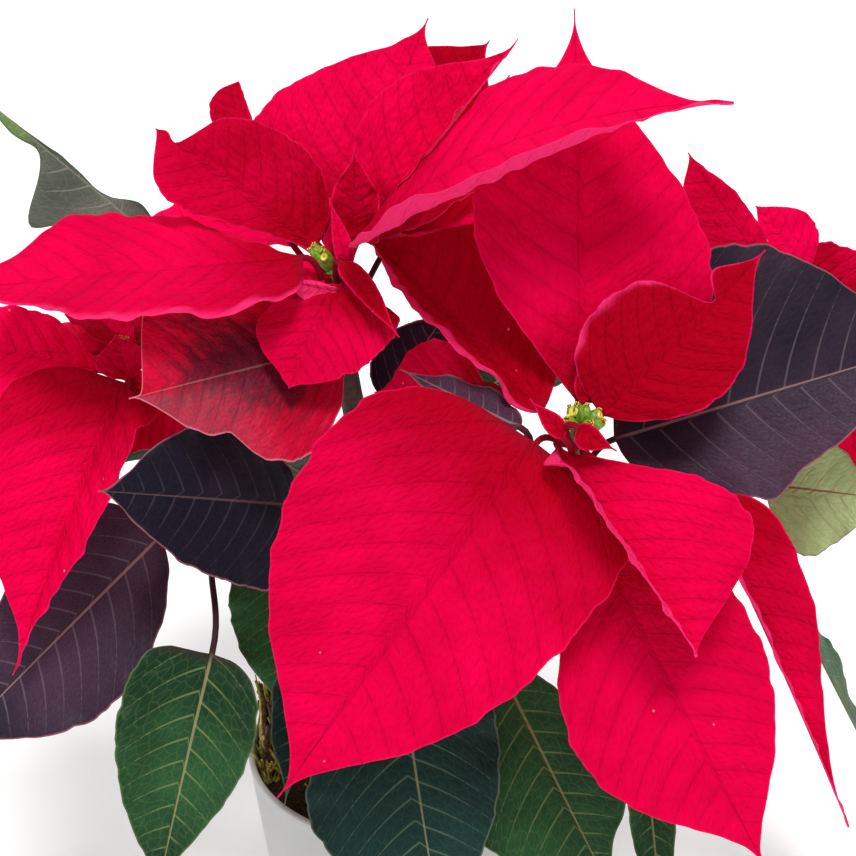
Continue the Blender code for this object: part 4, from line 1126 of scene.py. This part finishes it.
def build_soil(skins):
    """The soil with a fine crumbly surface, dry moss sprigs and woody bits."""
    lean = (POT_RIM_RADIUS - POT_BASE_RADIUS) / POT_HEIGHT
    floor = POT_FLOOR + GAP
    reach = POT_RIM_RADIUS - POT_WALL - GAP * 2
    bottom = POT_BASE_RADIUS + lean * floor - POT_WALL - GAP * 2
    edge = reach - lean * (POT_HEIGHT - SOIL_TOP)
    rings = [ring((0, 0, floor), UP, bottom, 160)]
    for radius in np.linspace(edge, FOOT_RADIUS + 0.6, 50):
        level = ring((0, 0, 0), UP, radius, 160)
        level[:, 2] = soil_height(level[:, 0], level[:, 1])
        rings.append(level)
    rings.append(ring((0, 0, FOOT_DEPTH - GAP), UP, FOOT_RADIUS + 0.6, 160))
    parts, kinds = [rings_part(rings)], [0]
    for kind, tufts in ((1, MOSS_TUFTS), (2, WOODY_BITS)):
        for tuft in tufts:
            made = sprig_parts(*tuft)
            parts += made
            kinds += [kind] * len(made)
    add_piece("soil_fill", parts, [skins["soil"], skins["moss"], skins["bark"]], "soil", kinds)


# Studio

WORLD_STRENGTH = 0.50
FLOOR_GLOW = 0.14
LIGHTS = (("key", 12.0, 63.0, 2.15, 16.0), ("fill", -75.0, 50.0, 0.75, 45.0))


def build_floor():
    s = Shader("studio_floor")
    cloud = s.noise(s.object_place(), 3.0, 2.0)
    s.finish(s.mix(s.ramp(cloud, 0.3, 0.7), (0.93, 0.93, 0.93), (0.95, 0.95, 0.95)), 0.8, 0.1)
    s.principled.inputs["Emission Color"].default_value = (1.0, 1.0, 1.0, 1.0)
    s.principled.inputs["Emission Strength"].default_value = FLOOR_GLOW
    data = bpy.data.meshes.new("studio_floor")
    size = 6.0
    data.from_pydata([(-size, -size, 0), (size, -size, 0), (size, size, 0), (-size, size, 0)], [], [(0, 1, 2, 3)])
    data.materials.append(s.material)
    floor = bpy.data.objects.new("studio_floor", data)
    bpy.context.scene.collection.objects.link(floor)


def build_world():
    world = bpy.data.worlds.new("studio")
    world.use_nodes = True
    back = world.node_tree.nodes["Background"]
    back.inputs["Color"].default_value = (1.0, 1.0, 1.0, 1.0)
    back.inputs["Strength"].default_value = WORLD_STRENGTH
    bpy.context.scene.world = world


def add_sun(name, azimuth, elevation, strength, spread):
    """A soft sun. Azimuth 0 is in front of the plant, and 90 is on its right."""
    data = bpy.data.lights.new(name, "SUN")
    data.energy = strength
    data.angle = math.radians(spread)
    light = bpy.data.objects.new(name, data)
    bpy.context.scene.collection.objects.link(light)
    turn, up = math.radians(azimuth), math.radians(elevation)
    source = np.array((math.sin(turn) * math.cos(up), -math.cos(turn) * math.cos(up), math.sin(up)))
    light.location = (AIM + source * 1500.0) * MM
    light.rotation_mode = "QUATERNION"
    light.rotation_quaternion = look_along(-source)


def look_along(way):
    return Vector(way).to_track_quat("-Z", "Y")


def build_camera():
    data = bpy.data.cameras.new("camera")
    data.sensor_fit = "HORIZONTAL"
    data.sensor_width = SENSOR
    data.lens = SENSOR * FOCAL_PIXELS / PHOTO_PIXELS
    data.clip_end = 20.0
    data.dof.use_dof = False
    camera = bpy.data.objects.new("camera", data)
    bpy.context.scene.collection.objects.link(camera)
    up = math.radians(CAMERA_ELEVATION)
    back = np.array((0.0, -math.cos(up), math.sin(up)))
    camera.location = (AIM + back * CAMERA_DISTANCE) * MM
    camera.rotation_mode = "QUATERNION"
    camera.rotation_quaternion = look_along(-back)
    bpy.context.scene.camera = camera


def all_skins():
    skins = {kind: blade_material(kind) for kind in PALETTES}
    skins["stem"] = stem_material()
    skins["pot"] = pot_material()
    skins["soil"] = soil_material()
    skins["cyathia"] = cyathia_material()
    skins["gland"] = plain_part_material("gland_yellow", (0.66, 0.56, 0.03), (0.88, 0.78, 0.14), 900.0, 0.35, 0.5)
    skins["thread"] = plain_part_material("thread_red", (0.45, 0.02, 0.01), (0.60, 0.10, 0.02), 900.0, 0.45, 0.3)
    skins["moss"] = plain_part_material("moss_sprigs", (0.22, 0.17, 0.03), (0.72, 0.60, 0.14), 420.0, 0.7, 0.1)
    skins["bark"] = plain_part_material("woody_bits", (0.035, 0.020, 0.012), (0.16, 0.085, 0.05), 500.0, 0.8, 0.1)
    skins["stalk"] = plain_part_material("receptacle_skin", (0.10, 0.10, 0.03), (0.20, 0.17, 0.05), 500.0, 0.5, 0.3)
    return skins


def build():
    bpy.context.scene.view_settings.view_transform = "Standard"
    build_camera()
    build_world()
    build_floor()
    for light in LIGHTS:
        add_sun(*light)
    skins = all_skins()
    build_pot(skins)
    build_soil(skins)
    build_stem(skins)
    for place in HEADS:
        build_head(place, skins)
    for leaf in LEAVES:
        build_leaf(leaf, skins)


build()
